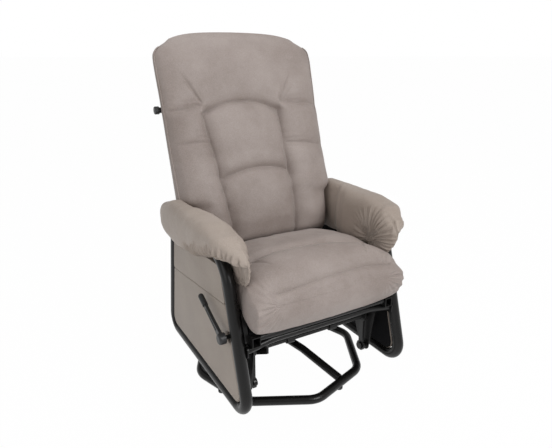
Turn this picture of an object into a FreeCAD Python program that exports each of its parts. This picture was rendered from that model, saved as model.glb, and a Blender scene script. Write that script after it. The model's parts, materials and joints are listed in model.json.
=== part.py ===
# Swivel glider recliner in millimetres.
# +Z is up, the sitter faces -Y, +X is the sitter's left.
# Every piece is laid out from the swivel axis on the floor; save() then moves the
# origin to the middle of the chair's depth, which lies ORIGIN_BACK behind that axis.
import FreeCAD, Part
import math
import os
from FreeCAD import Vector

os.makedirs("parts", exist_ok=True)

# Whole chair
ORIGIN_BACK = 9.0
RUNNING_FIT = 0.05
SKIN_GAP = 0.4

# Base ring on the floor, an eight-sided bent tube that stands slightly turned under the chair
GLIDE_HEIGHT = 4.0
GLIDE_RADIUS = 13.0
RING_SIDES = 8
RING_RADIUS = 288.0
RING_TUBE = 28.0
RING_BEND = 70.0
BASE_TURN = -4.9
TUBE_WALL = 1.6
VENT_RADIUS = 3.0

# Base arms, hub and bearing
BASE_ARMS = 4
ARM_TUBE = 26.0
ARM_WALL = 2.5
ARM_LIFT = 20.0
ARM_SHOULDER_RADIUS = 112.0
ARM_SHOULDER_Z = 80.0
HUB_Z = 92.0
HUB_RADIUS = 42.0
HUB_HEIGHT = 30.0
HUB_FLANGE_RADIUS = 68.0
HUB_FLANGE_THICK = 4.0
BEARING_INNER = 40.0
BEARING_OUTER = 64.0
BEARING_THICK = 4.0
PIVOT_RADIUS = 9.0
PIVOT_NUT_RADIUS = 15.0
PIVOT_NUT_THICK = 9.0
TURNTABLE_WIDTH = 200.0
TURNTABLE_DEPTH = 130.0
TURNTABLE_THICK = 5.0

# Glide linkage: four equal links hang from two axle rods
LINK_LENGTH = 110.0
LINK_PIVOT_Y = 205.0
LINK_TOP_Z = 205.0
GLIDE_ANGLE = 22.0
LINK_X = 205.0
LINK_THICK = 8.0
LINK_EYE_RADIUS = 17.0
LINK_WAIST = 9.0
AXLE_RADIUS = 7.0
LINK_BUSH_WALL = 3.0
COLLAR_RADIUS = 12.0
COLLAR_LENGTH = 4.0
HANGER_THICK = 4.0
HANGER_TIP_RADIUS = 15.0
HANGER_TOP_FRONT = 46.0
HANGER_TOP_BACK = 100.0
CRADLE_X = 78.0
CRADLE_WIDTH = 26.0
CRADLE_THICK = 7.0
CRADLE_FLAT = 58.0

# Side loops, bent steel tube
LOOP_TUBE = 35.0
LOOP_X = 277.0
LOOP_RAIL_Z = 77.0
LOOP_ARM_Z = 512.0
LOOP_RAIL_FRONT = -320.0
LOOP_RAIL_REAR = 288.0
LOOP_ARM_FRONT = -190.0
LOOP_ARM_REAR = 200.0
LOOP_FOOT_BEND = 48.0
LOOP_ARM_BEND = 115.0
LOOP_REAR_BEND = 90.0

# Cross tubes that join the two loops
CROSS_TUBE = 20.0
CROSS_FRONT_Z = 253.0
CROSS_REAR_Z = 238.0
CROSS_ARCH = 14.0
CROSS_SHOULDER_X = 175.0
CROSS_LUG = 32.0
CROSS_LUG_THICK = 4.0

# Seat rails, webbing and cushion
RAIL_IN_X = 222.0
RAIL_OUT_X = 247.0
RAIL_HEIGHT = 30.0
RAIL_TOP_Z = 300.0
RAIL_FRONT = -290.0
RAIL_REAR = 222.0
RAIL_WALL = 2.0
SEAT_TUBE = 20.0
SEAT_TUBE_FRONT = -275.0
SEAT_TUBE_REAR = 84.0
WEBBING_STRAPS = 6
WEBBING_WIDTH = 44.0
WEBBING_THICK = 2.5
SEAT_HALF_WIDTH = 246.4
SEAT_FRONT = -327.0
SEAT_REAR = 134.0
SEAT_UNDERSIDE = 303.5
SEAT_FRONT_SEAM = -292.0
SEAT_MIDDLE_SEAM = -188.0
SEAT_TOP_FRONT = 480.0
SEAT_TOP_REAR = 432.0
SEAM_DEPTH = 9.0

# Backrest, laid out along its own tilted plane from the hinge
HINGE_Y = 165.0
HINGE_Z = 350.0
BACK_TILT = 16.0
RECLINE_ANGLE = 35.0
HINGE_PIN_RADIUS = 6.0
HINGE_PLATE_THICK = 5.0
HINGE_PLATE_RADIUS = 22.0
DISC_RADIUS = 27.0
DISC_THICK = 6.0
DISC_PLAY = 0.1
HINGE_BASE_X = 227.0
BACK_TUBE = 22.0
BACK_FRAME_TOP = 700.0
BACK_FRAME_BEND = 70.0
BACK_TUBE_FOOT = 62.0
BACK_TUBE_DEPTH = 36.0
SHELL_REAR = 20.0
SHELL_FRONT = 58.0
SHELL_WALL = 5.0
BACK_BOTTOM = 40.0
BACK_WAIST = 252.0
BACK_SHOULDER = 278.0
BACK_TOP = 745.0
PANEL_HALF_WIDTH = 142.0
LOWER_SEAM = 276.0
UPPER_SEAM = 508.0

# Side panels and arm pads
PANEL_OUTER_X = 290.0
PANEL_INNER_X = 264.0
PANEL_EDGE_GAP = 1.2
SEAM_GAP = 0.5
PAD_CLEAR = 2.0
SEAM_REAR_Z = 327.0
SEAM_FRONT_Z = 381.0
PAD_TOP_Z = 590.0
PAD_OUTER_X = 332.0
PAD_INNER_FRONT_X = 230.0
PAD_INNER_REAR_X = 256.5
PAD_FRONT = -306.0
PAD_REAR = 266.0
PAD_FACETS = 16
PAD_FULLNESS = 0.7
PAD_UNDER_FRONT_Z = 484.0
PAD_UNDER_REAR_Z = 455.0

# Glide lock
LEVER_Y = -226.0
LEVER_Z = 287.0
LEVER_SWING = 70.0
LEVER_SHAFT_RADIUS = 6.0
LEVER_HUB_RADIUS = 16.0
LEVER_HUB_X = 301.0
LEVER_HUB_LENGTH = 20.0
LEVER_LENGTH = 166.0
LEVER_RISE = 25.0
LEVER_ARM_THICK = 9.0
GRIP_RADIUS = 8.5
GRIP_LENGTH = 44.0
PAWL_X = 190.0
PAWL_THICK = 6.0
PAWL_REACH = 51.0
PAWL_HALF_WIDTH = 4.0
RACK_DEPTH = 9.0
RACK_BITE = 5.0

# Recline knob on the back's right edge
KNOB_HEIGHT = 513.0
KNOB_DEPTH = 46.0
KNOB_RADIUS = 12.5
KNOB_LENGTH = 22.0
SPINDLE_RADIUS = 5.0

LINK_BOTTOM_Z = LINK_TOP_Z - LINK_LENGTH
GLIDE_TRAVEL = LINK_LENGTH * math.sin(math.radians(GLIDE_ANGLE))
RING_Z = GLIDE_HEIGHT + RING_TUBE / 2.0
RAIL_BOTTOM_Z = RAIL_TOP_Z - RAIL_HEIGHT
HUB_TOP = HUB_Z + HUB_HEIGHT / 2.0
BEARING_Z = HUB_TOP
TURNTABLE_Z = BEARING_Z + BEARING_THICK + RUNNING_FIT
CRADLE_Z = TURNTABLE_Z + TURNTABLE_THICK
RIGHT = -1
LEFT = 1
SIDES = {"right": RIGHT, "left": LEFT}
X_AXIS = Vector(1, 0, 0)
Y_AXIS = Vector(0, 1, 0)
Z_AXIS = Vector(0, 0, 1)
ORIGIN = Vector(0, 0, 0)


# General shapes

def save(name, shape):
    """Write one node, moved from the swivel axis to the part's own origin."""
    placed = shape.copy()
    placed.translate(Vector(0, -ORIGIN_BACK, 0))
    placed.exportStep("parts/" + name + ".step")
    print(name, len(placed.Solids), round(placed.Volume))


def corner_data(before, corner, after, radius):
    """Start, middle, end and centre of the tangent arc that rounds one corner."""
    inward = (corner - before).normalize()
    outward = (after - corner).normalize()
    turn = inward.getAngle(outward)
    if radius <= 0 or turn < 1e-6:
        return corner, corner, corner, None
    reach = radius * math.tan(turn / 2.0)
    start = corner - inward * reach
    end = corner + outward * reach
    bisector = (outward - inward).normalize()
    centre = corner + bisector * (radius / math.cos(turn / 2.0))
    middle = centre - bisector * radius
    return start, middle, end, centre


def rounded_wire(points, radii, closed=True):
    """Wire through the points, each corner rounded by its own radius."""
    count = len(points)
    corners = []
    for i, point in enumerate(points):
        if not closed and i in (0, count - 1):
            corners.append((point, point, point, None))
        else:
            corners.append(corner_data(points[i - 1], point, points[(i + 1) % count], radii[i]))
    edges = []
    for i, (start, middle, end, centre) in enumerate(corners):
        if centre is not None:
            edges.append(Part.Arc(start, middle, end).toShape())
        if i < count - 1 or closed:
            following = corners[(i + 1) % count][0]
            if (following - end).Length > 1e-6:
                edges.append(Part.LineSegment(end, following).toShape())
    return Part.Wire(edges)


def plate_yz(corners, radii, x_from, x_to):
    """Plate with a rounded outline in the Y-Z plane, between two X positions."""
    low = min(x_from, x_to)
    points = [Vector(low, y, z) for y, z in corners]
    face = Part.Face(rounded_wire(points, radii))
    return face.extrude(X_AXIS * abs(x_to - x_from))


def plate_xy(corners, radii, z_from, z_to):
    """Plate with a rounded outline in the X-Y plane, between two heights."""
    points = [Vector(x, y, z_from) for x, y in corners]
    face = Part.Face(rounded_wire(points, radii))
    return face.extrude(Z_AXIS * (z_to - z_from))


def rod_x(radius, x_from, x_to, y, z):
    """Round bar along X."""
    low = min(x_from, x_to)
    return Part.makeCylinder(radius, abs(x_to - x_from), Vector(low, y, z), X_AXIS)


def ring_x(outer, inner, x_from, x_to, y, z):
    """Round bar along X with a bore."""
    return rod_x(outer, x_from, x_to, y, z).cut(rod_x(inner, x_from, x_to, y, z))


def round_ended_rod(radius, length, start):
    """Round bar along Y that starts flat and ends in a half ball."""
    shoulder = start + Vector(0, length - radius, radius)
    tip = start + Vector(0, length, 0)
    slant = radius * math.sqrt(0.5)
    cheek = start + Vector(0, length - radius + slant, slant)
    edges = [
        Part.LineSegment(start, start + Z_AXIS * radius).toShape(),
        Part.LineSegment(start + Z_AXIS * radius, shoulder).toShape(),
        Part.Arc(shoulder, cheek, tip).toShape(),
        Part.LineSegment(tip, start).toShape(),
    ]
    return Part.Face(Part.Wire(edges)).revolve(start, Y_AXIS, 360)


def ring_z(outer, inner, z_from, z_to):
    """Washer round the swivel axis."""
    body = Part.makeCylinder(outer, z_to - z_from, Vector(0, 0, z_from))
    return body.cut(Part.makeCylinder(inner, z_to - z_from, Vector(0, 0, z_from)))


def round_face(centre, normal, radius, wall):
    """Disc, or annulus where a wall is given, across a tube's run."""
    outer = Part.Wire(Part.Circle(centre, normal, radius).toShape())
    if wall <= 0 or wall >= radius:
        return Part.Face(outer)
    inner = Part.Wire(Part.Circle(centre, normal, radius - wall).toShape())
    inner.reverse()
    return Part.Face([outer, inner])


def bent_tube(points, radii, diameter, wall, closed=False):
    """Tube along straight runs and tangent bends."""
    count = len(points)
    pieces = []
    corners = []
    for i, point in enumerate(points):
        if not closed and i in (0, count - 1):
            corners.append((point, point, point, None))
        else:
            corners.append(corner_data(points[i - 1], point, points[(i + 1) % count], radii[i]))
    for i, (start, middle, end, centre) in enumerate(corners):
        if centre is not None:
            inward = (point_at(corners, i - 1, 2) - start) * -1.0
            following = point_at(corners, i + 1, 0)
            outward = following - end
            axis = inward.cross(outward).normalize()
            turn = math.degrees(inward.getAngle(outward))
            face = round_face(start, inward, diameter / 2.0, wall)
            pieces.append(face.revolve(centre, axis, turn))
        if i < count - 1 or closed:
            following = point_at(corners, i + 1, 0)
            run = following - end
            if run.Length > 1e-6:
                pieces.append(round_face(end, run, diameter / 2.0, wall).extrude(run))
    body = pieces[0]
    if len(pieces) > 1:
        body = body.multiFuse(pieces[1:])
    return body.removeSplitter()


def point_at(corners, index, part):
    """Start or end point of a rounded corner, counted round the path."""
    return corners[index % len(corners)][part]


def arc_edge(start, end, bulge, outward):
    """Arc between two points that stands out by the bulge, or a line where it is nil."""
    if abs(bulge) < 1e-6:
        return Part.LineSegment(start, end).toShape()
    height = min(bulge, 0.36 * (end - start).Length)
    middle = (start + end) * 0.5 + outward * height
    return Part.Arc(start, middle, end).toShape()


def solid_loft(wires):
    """Closed solid through a row of wires with like edges."""
    return Part.makeLoft(wires, True, True)


# Side loop outline

def front_leg_y(z):
    """Centre line of the front leg at a height."""
    slope = (LOOP_ARM_FRONT - LOOP_RAIL_FRONT) / (LOOP_ARM_Z - LOOP_RAIL_Z)
    return LOOP_RAIL_FRONT + slope * (z - LOOP_RAIL_Z)


def rear_leg_y(z):
    """Centre line of the rear leg at a height."""
    slope = (LOOP_ARM_REAR - LOOP_RAIL_REAR) / (LOOP_ARM_Z - LOOP_RAIL_Z)
    return LOOP_RAIL_REAR + slope * (z - LOOP_RAIL_Z)


def seam_z(y):
    """Height of the seam between the two pieces of a side panel."""
    front = front_leg_y(SEAM_FRONT_Z)
    rear = rear_leg_y(SEAM_REAR_Z)
    return SEAM_REAR_Z + (SEAM_FRONT_Z - SEAM_REAR_Z) * (rear - y) / (rear - front)


def pad_under_z(y):
    """Height of the arm pad's lower edge outside the loop."""
    share = (y - LOOP_ARM_FRONT) / (LOOP_ARM_REAR - LOOP_ARM_FRONT)
    return PAD_UNDER_FRONT_Z + (PAD_UNDER_REAR_Z - PAD_UNDER_FRONT_Z) * share


def loop_solid(side, growth=0.0, wall=TUBE_WALL):
    """One side loop, or the space that it fills with a growth all round."""
    x = side * LOOP_X
    points = [
        Vector(x, LOOP_RAIL_FRONT, LOOP_RAIL_Z),
        Vector(x, LOOP_RAIL_REAR, LOOP_RAIL_Z),
        Vector(x, LOOP_ARM_REAR, LOOP_ARM_Z),
        Vector(x, LOOP_ARM_FRONT, LOOP_ARM_Z),
    ]
    radii = [LOOP_FOOT_BEND, LOOP_FOOT_BEND, LOOP_REAR_BEND, LOOP_ARM_BEND]
    loop = bent_tube(points, radii, LOOP_TUBE + 2 * growth, wall, closed=True)
    if wall > 0:
        inside = x - side * LOOP_TUBE / 2.0
        loop = loop.cut(rod_x(VENT_RADIUS, inside - side * 3.0, inside + side * 6.0, 0.0, LOOP_RAIL_Z))
    return loop


def grown_outline(corners, growth):
    """Corners of a counterclockwise (y, z) outline with every side moved outwards."""
    grown = []
    count = len(corners)
    for i, (y, z) in enumerate(corners):
        before = corners[i - 1]
        after = corners[(i + 1) % count]
        normals = []
        for start, end in ((before, (y, z)), ((y, z), after)):
            run = math.hypot(end[0] - start[0], end[1] - start[1])
            normals.append(((end[1] - start[1]) / run, (start[0] - end[0]) / run))
        (ny1, nz1), (ny2, nz2) = normals
        share = growth / (1.0 + ny1 * ny2 + nz1 * nz2)
        grown.append((y + (ny1 + ny2) * share, z + (nz1 + nz2) * share))
    return grown


def loop_slot(side):
    """Flat slot that fills a loop's whole outline, as wide as its tube."""
    half = LOOP_TUBE / 2.0 + SKIN_GAP
    centreline = [
        (LOOP_RAIL_FRONT, LOOP_RAIL_Z),
        (LOOP_RAIL_REAR, LOOP_RAIL_Z),
        (LOOP_ARM_REAR, LOOP_ARM_Z),
        (LOOP_ARM_FRONT, LOOP_ARM_Z),
    ]
    radii = [bend + half for bend in (LOOP_FOOT_BEND, LOOP_FOOT_BEND, LOOP_REAR_BEND, LOOP_ARM_BEND)]
    outline = grown_outline(centreline, half)
    return plate_yz(outline, radii, side * (LOOP_X - half), side * (LOOP_X + half))


# Base on the floor

def turned(shape, angle):
    """Copy of a base piece turned about the swivel axis."""
    piece = shape.copy()
    piece.rotate(ORIGIN, Z_AXIS, angle)
    return piece


def ring_corners():
    """Corner points of the base ring's centre line."""
    step = 360.0 / RING_SIDES
    corners = []
    for i in range(RING_SIDES):
        angle = math.radians(BASE_TURN + step * i)
        corners.append(Vector(RING_RADIUS * math.cos(angle), RING_RADIUS * math.sin(angle), RING_Z))
    return corners


def make_base():
    ring = bent_tube(ring_corners(), [RING_BEND] * RING_SIDES, RING_TUBE, TUBE_WALL, closed=True)
    ring = ring.cut(turned(Part.makeCylinder(VENT_RADIUS, 2 * GLIDE_RADIUS, Vector(RING_RADIUS - 22.0, 60.0, -6.0)), BASE_TURN + 22.5))
    save("base_ring", ring)

    apothem = RING_RADIUS * math.cos(math.pi / RING_SIDES)
    middle_turn = BASE_TURN + 180.0 / RING_SIDES
    glides = []
    for i in range(BASE_ARMS):
        cup = Part.makeCylinder(GLIDE_RADIUS, GLIDE_HEIGHT + 4.0, Vector(apothem, 0, 0))
        cup = cup.makeFillet(1.5, [cup.Edges[2]])
        glides.append(turned(cup, middle_turn + i * 360.0 / BASE_ARMS))
    ring_space = bent_tube(ring_corners(), [RING_BEND] * RING_SIDES, RING_TUBE, 0, closed=True)
    save("floor_glides", Part.makeCompound([cup.cut(ring_space) for cup in glides]))

    path = [
        Vector(apothem, 0, RING_Z + ARM_LIFT),
        Vector(ARM_SHOULDER_RADIUS, 0, ARM_SHOULDER_Z),
        Vector(0.5 * HUB_RADIUS, 0, HUB_Z),
    ]
    arm = bent_tube(path, [0, 60.0, 0], ARM_TUBE, ARM_WALL)
    arm = arm.cut(Part.makeCylinder(HUB_RADIUS, 2 * HUB_HEIGHT, Vector(0, 0, HUB_Z - HUB_HEIGHT)))
    arms = [turned(arm, middle_turn + i * 360.0 / BASE_ARMS).cut(ring_space) for i in range(BASE_ARMS)]
    arms = [max(piece.Solids, key=lambda solid: solid.Volume) for piece in arms]
    save("base_arms", Part.makeCompound(arms))

    flange_z = HUB_TOP - HUB_FLANGE_THICK
    drum = Part.makeCylinder(HUB_RADIUS, HUB_HEIGHT, Vector(0, 0, HUB_TOP - HUB_HEIGHT))
    drum = drum.cut(Part.makeCylinder(HUB_RADIUS - 6.0, HUB_HEIGHT - 8.0, Vector(0, 0, HUB_TOP - HUB_HEIGHT)))
    flange = Part.makeCylinder(HUB_FLANGE_RADIUS, HUB_FLANGE_THICK, Vector(0, 0, flange_z))
    shoulder = flange.fuse(drum).removeSplitter()
    hub = shoulder.cut(Part.makeCylinder(PIVOT_RADIUS, 2 * HUB_HEIGHT, Vector(0, 0, HUB_Z - HUB_HEIGHT)))
    save("swivel_hub", hub)

    bearing = ring_z(BEARING_OUTER, BEARING_INNER, BEARING_Z, BEARING_Z + BEARING_THICK)
    save("swivel_bearing", bearing)

    post_top = CRADLE_Z + RUNNING_FIT + PIVOT_NUT_THICK + 3.0
    post_foot = HUB_TOP - 8.0
    post = Part.makeCylinder(PIVOT_RADIUS, post_top - post_foot, Vector(0, 0, post_foot))
    head = Part.makeCylinder(PIVOT_NUT_RADIUS, 6.0, Vector(0, 0, post_foot - 6.0))
    save("swivel_post", post.fuse(head).removeSplitter())

    nut_z = CRADLE_Z + RUNNING_FIT
    nut_points = []
    for i in range(6):
        angle = math.radians(60.0 * i)
        nut_points.append((PIVOT_NUT_RADIUS * math.cos(angle), PIVOT_NUT_RADIUS * math.sin(angle)))
    nut = plate_xy(nut_points, [0] * 6, nut_z, nut_z + PIVOT_NUT_THICK)
    save("swivel_nut", nut.cut(Part.makeCylinder(PIVOT_RADIUS, 60.0, Vector(0, 0, nut_z - 20.0))))


# Turning cradle that carries the links

def cradle_strip(side):
    """One cradle arm: a formed strip from the front axle over the turntable to the rear axle."""
    x_low = side * CRADLE_X - CRADLE_WIDTH / 2.0
    x_high = x_low + CRADLE_WIDTH
    middle_z = CRADLE_Z + CRADLE_THICK / 2.0
    half = CRADLE_THICK / 2.0
    path = [
        (-LINK_PIVOT_Y, LINK_TOP_Z),
        (-CRADLE_FLAT, middle_z),
        (CRADLE_FLAT, middle_z),
        (LINK_PIVOT_Y, LINK_TOP_Z),
    ]
    slope = math.atan2(LINK_TOP_Z - middle_z, LINK_PIVOT_Y - CRADLE_FLAT)
    knee = half * math.tan(slope / 2.0)
    end_y = half * math.sin(slope)
    end_z = half * math.cos(slope)
    lower = [
        (path[0][0] - end_y, path[0][1] - end_z),
        (path[1][0] + knee, CRADLE_Z),
        (path[2][0] - knee, CRADLE_Z),
        (path[3][0] + end_y, path[3][1] - end_z),
    ]
    upper = [
        (path[3][0] - end_y, path[3][1] + end_z),
        (path[2][0] + knee, CRADLE_Z + CRADLE_THICK),
        (path[1][0] - knee, CRADLE_Z + CRADLE_THICK),
        (path[0][0] + end_y, path[0][1] + end_z),
    ]
    strip = plate_yz(lower + upper, [0, 12.0, 12.0, 0, 0, 12.0, 12.0, 0], x_low, x_high)
    eye = AXLE_RADIUS + 5.0
    for y in (-LINK_PIVOT_Y, LINK_PIVOT_Y):
        strip = strip.fuse(rod_x(eye, x_low, x_high, y, LINK_TOP_Z))
    for y in (-LINK_PIVOT_Y, LINK_PIVOT_Y):
        strip = strip.cut(rod_x(AXLE_RADIUS, x_low, x_high, y, LINK_TOP_Z))
    return strip.removeSplitter()


def rack_top(y):
    """Height of the lock rack's crest: it follows the rise of the gliding seat."""
    offset = y - LEVER_Y
    rise = LINK_LENGTH - math.sqrt(LINK_LENGTH ** 2 - offset ** 2)
    return LEVER_Z - PAWL_REACH + RACK_BITE + rise


def make_lock_rack():
    """Toothed plate with a notch for each end of the glide and one for the middle."""
    x_from = RIGHT * PAWL_X
    x_to = RIGHT * (PAWL_X + PAWL_THICK)
    reach = GLIDE_TRAVEL + 8.0
    y_front = LEVER_Y - reach
    y_rear = LEVER_Y + reach
    crest_front = Vector(min(x_from, x_to), y_front, rack_top(y_front))
    crest_middle = Vector(min(x_from, x_to), LEVER_Y, rack_top(LEVER_Y))
    crest_rear = Vector(min(x_from, x_to), y_rear, rack_top(y_rear))
    foot_y = -LINK_PIVOT_Y + 74.0
    foot_z = LINK_TOP_Z - 46.0
    low = min(x_from, x_to)
    below = [
        (y_rear, rack_top(y_rear)),
        (foot_y + 14.0, foot_z + 24.0),
        (foot_y + 14.0, foot_z),
        (foot_y - 16.0, foot_z),
        (-LINK_PIVOT_Y - 6.0, LINK_TOP_Z - 14.0),
        (y_front, rack_top(LEVER_Y) - 12.0),
        (y_front, rack_top(y_front)),
    ]
    corners = [Vector(low, y, z) for y, z in below]
    outline = [Part.Arc(crest_front, crest_middle, crest_rear).toShape()]
    outline += [Part.LineSegment(a, b).toShape() for a, b in zip(corners, corners[1:])]
    plate = Part.Face(Part.Wire(outline)).extrude(X_AXIS * PAWL_THICK)
    for offset in (-GLIDE_TRAVEL, 0.0, GLIDE_TRAVEL):
        notch_y = LEVER_Y + offset
        top = rack_top(notch_y)
        floor = top - RACK_DEPTH
        clear = PAWL_HALF_WIDTH + 0.6
        notch = [
            (notch_y - clear, floor),
            (notch_y + clear + 3.4, floor),
            (notch_y + clear + 3.4, top - 7.5),
            (notch_y + clear + 28.4, top + 3.0),
            (notch_y + clear + 28.4, top + 12.0),
            (notch_y - clear, top + 12.0),
        ]
        plate = plate.cut(plate_yz(notch, [0] * 6, x_from, x_to))
    plate = plate.cut(rod_x(AXLE_RADIUS, x_from, x_to, -LINK_PIVOT_Y, LINK_TOP_Z))
    save("lock_rack", plate)

    brace_low = foot_z - 6.0
    brace = Part.makeBox(PAWL_X + PAWL_THICK + CRADLE_X, 26.0, 6.0,
                         Vector(-PAWL_X - PAWL_THICK, foot_y - 14.0, brace_low))
    strips = cradle_strip(RIGHT).fuse(cradle_strip(LEFT))
    save("rack_brace", max(brace.cut(strips).Solids, key=lambda solid: solid.Volume))


def make_swivel_frame():
    half_w = TURNTABLE_WIDTH / 2.0
    half_d = TURNTABLE_DEPTH / 2.0
    corners = [(-half_w, -half_d), (half_w, -half_d), (half_w, half_d), (-half_w, half_d)]
    plate = plate_xy(corners, [26.0] * 4, TURNTABLE_Z, TURNTABLE_Z + TURNTABLE_THICK)
    plate = plate.cut(Part.makeCylinder(PIVOT_RADIUS + RUNNING_FIT, 60.0, Vector(0, 0, TURNTABLE_Z - 20.0)))
    save("turntable_plate", plate)

    save("cradle_arms", Part.makeCompound([cradle_strip(side) for side in (RIGHT, LEFT)]))

    half = LINK_X + LINK_THICK / 2.0 + COLLAR_LENGTH + 0.5
    rods = [rod_x(AXLE_RADIUS, -half, half, y, LINK_TOP_Z) for y in (-LINK_PIVOT_Y, LINK_PIVOT_Y)]
    save("axle_rods", Part.makeCompound(rods))

    collars = []
    for y in (-LINK_PIVOT_Y, LINK_PIVOT_Y):
        for side in (RIGHT, LEFT):
            outside = side * (LINK_X + LINK_THICK / 2.0 + 0.5)
            collars.append(ring_x(COLLAR_RADIUS, AXLE_RADIUS, outside, outside + side * COLLAR_LENGTH, y, LINK_TOP_Z))
            inside = side * (LINK_X - LINK_THICK / 2.0 - 0.5)
            collars.append(ring_x(COLLAR_RADIUS, AXLE_RADIUS, inside, inside - side * COLLAR_LENGTH, y, LINK_TOP_Z))
    save("axle_collars", Part.makeCompound(collars))
    make_lock_rack()


# Glide links

def link_blade(side, y):
    """Dog-bone link with an eye for a bush at each end."""
    x_from = side * (LINK_X - LINK_THICK / 2.0)
    x_to = side * (LINK_X + LINK_THICK / 2.0)
    blade = rod_x(LINK_EYE_RADIUS, x_from, x_to, y, LINK_TOP_Z)
    blade = blade.fuse(rod_x(LINK_EYE_RADIUS, x_from, x_to, y, LINK_BOTTOM_Z))
    waist = [
        (y - LINK_WAIST, LINK_BOTTOM_Z),
        (y + LINK_WAIST, LINK_BOTTOM_Z),
        (y + LINK_WAIST, LINK_TOP_Z),
        (y - LINK_WAIST, LINK_TOP_Z),
    ]
    blade = blade.fuse(plate_yz(waist, [0] * 4, x_from, x_to))
    for z in (LINK_TOP_Z, LINK_BOTTOM_Z):
        blade = blade.cut(rod_x(AXLE_RADIUS + LINK_BUSH_WALL, x_from, x_to, y, z))
    return blade.removeSplitter()


def make_links():
    for name, y in (("front", -LINK_PIVOT_Y), ("rear", LINK_PIVOT_Y)):
        bushes = []
        for side_name, side in SIDES.items():
            save(name + "_link_" + side_name, link_blade(side, y))
            x_from = side * (LINK_X - LINK_THICK / 2.0)
            x_to = side * (LINK_X + LINK_THICK / 2.0)
            for z in (LINK_TOP_Z, LINK_BOTTOM_Z):
                outer = AXLE_RADIUS + LINK_BUSH_WALL
                bushes.append(ring_x(outer, AXLE_RADIUS + RUNNING_FIT, x_from, x_to, y, z))
        save(name + "_link_bushes", Part.makeCompound(bushes))


# Chair frame

def hanger_plate(side, y, lever_hole):
    """Triangular plate under a seat rail whose tip holds a link's lower pin."""
    x_from = side * (RAIL_IN_X - HANGER_THICK)
    x_to = side * RAIL_IN_X
    outward = 1.0 if y > 0 else -1.0
    top = RAIL_TOP_Z - 4.0
    low = RAIL_BOTTOM_Z - 2.0
    tip_z = LINK_BOTTOM_Z - HANGER_TIP_RADIUS
    corners = [
        (y - outward * HANGER_TIP_RADIUS * 1.25, tip_z),
        (y + outward * HANGER_TIP_RADIUS * 1.25, tip_z),
        (y + outward * HANGER_TOP_FRONT, low),
        (y + outward * HANGER_TOP_FRONT, top),
        (y - outward * HANGER_TOP_BACK, top),
        (y - outward * HANGER_TOP_BACK, low),
    ]
    rear_limit = RAIL_REAR - 2.0
    front_limit = RAIL_FRONT + 2.0
    corners = [(min(max(cy, front_limit), rear_limit), cz) for cy, cz in corners]
    radii = [HANGER_TIP_RADIUS, HANGER_TIP_RADIUS, 10.0, 4.0, 4.0, 10.0]
    plate = plate_yz(corners, radii, x_from, x_to)
    if lever_hole:
        plate = plate.cut(rod_x(LEVER_SHAFT_RADIUS + 1.0, x_from, x_to, LEVER_Y, LEVER_Z))
    return plate


def seat_rail(side):
    """Rectangular tube along the seat's side."""
    low = min(side * RAIL_IN_X, side * RAIL_OUT_X)
    width = RAIL_OUT_X - RAIL_IN_X
    length = RAIL_REAR - RAIL_FRONT
    outer = Part.makeBox(width, length, RAIL_HEIGHT, Vector(low, RAIL_FRONT, RAIL_BOTTOM_Z))
    inner = Part.makeBox(width - 2 * RAIL_WALL, length, RAIL_HEIGHT - 2 * RAIL_WALL,
                         Vector(low + RAIL_WALL, RAIL_FRONT, RAIL_BOTTOM_Z + RAIL_WALL))
    rail = outer.cut(inner)
    if side == RIGHT:
        rail = rail.cut(rod_x(LEVER_SHAFT_RADIUS + 3.0, low, low + width, LEVER_Y, LEVER_Z))
    return rail


def cross_tube(y, end_z, arch):
    """Tube between the two loops with a lug plate at each end, arched up in the middle."""
    inner_x = LOOP_X - LOOP_TUBE / 2.0 - CROSS_LUG_THICK
    if arch > 0:
        points = [
            Vector(-inner_x, y, end_z),
            Vector(-CROSS_SHOULDER_X, y, end_z + arch),
            Vector(CROSS_SHOULDER_X, y, end_z + arch),
            Vector(inner_x, y, end_z),
        ]
        tube = bent_tube(points, [0, 120.0, 120.0, 0], CROSS_TUBE, TUBE_WALL)
    else:
        points = [Vector(-inner_x, y, end_z), Vector(inner_x, y, end_z)]
        tube = bent_tube(points, [0, 0], CROSS_TUBE, TUBE_WALL)
    half = CROSS_LUG / 2.0
    outline = [
        (y - half, end_z - half),
        (y + half, end_z - half),
        (y + half, end_z + half),
        (y - half, end_z + half),
    ]
    for side in (RIGHT, LEFT):
        lug = plate_yz(outline, [8.0] * 4, side * inner_x, side * (inner_x + CROSS_LUG_THICK))
        tube = tube.fuse(lug)
    return tube.removeSplitter()


def side_bracket(side, y_of_leg, lever_hole):
    """Plate that bolts a seat rail to a leg of its loop."""
    x_from = side * RAIL_OUT_X
    x_to = side * (LOOP_X - LOOP_TUBE / 2.0)
    low_z = RAIL_BOTTOM_Z + 1.5
    top_z = RAIL_TOP_Z + 62.0
    inward = 1.0 if y_of_leg(low_z) < 0 else -1.0
    outline = [
        (y_of_leg(low_z) - inward * 10.0, low_z),
        (y_of_leg(low_z) + inward * 62.0, low_z),
        (y_of_leg(low_z) + inward * 62.0, RAIL_TOP_Z + 4.0),
        (y_of_leg(top_z) + inward * 20.0, top_z),
        (y_of_leg(top_z) - inward * 10.0, top_z),
    ]
    plate = plate_yz(outline, [10.0, 10.0, 18.0, 12.0, 9.0], x_from, x_to)
    if lever_hole:
        plate = plate.cut(rod_x(LEVER_SHAFT_RADIUS + 1.0, x_from, x_to, LEVER_Y, LEVER_Z))
    return plate


def bracket_bolt(side, y_of_leg):
    """Bolt sunk in a bracket, from the seat's side into the leg's wall."""
    z = RAIL_TOP_Z + 34.0
    sunk = side * (RAIL_OUT_X + 0.5)
    head = rod_x(7.0, sunk, sunk + side * 5.0, y_of_leg(z), z)
    shank = rod_x(4.0, sunk, side * (LOOP_X - LOOP_TUBE / 2.0), y_of_leg(z), z)
    return head.fuse(shank).removeSplitter()


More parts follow.
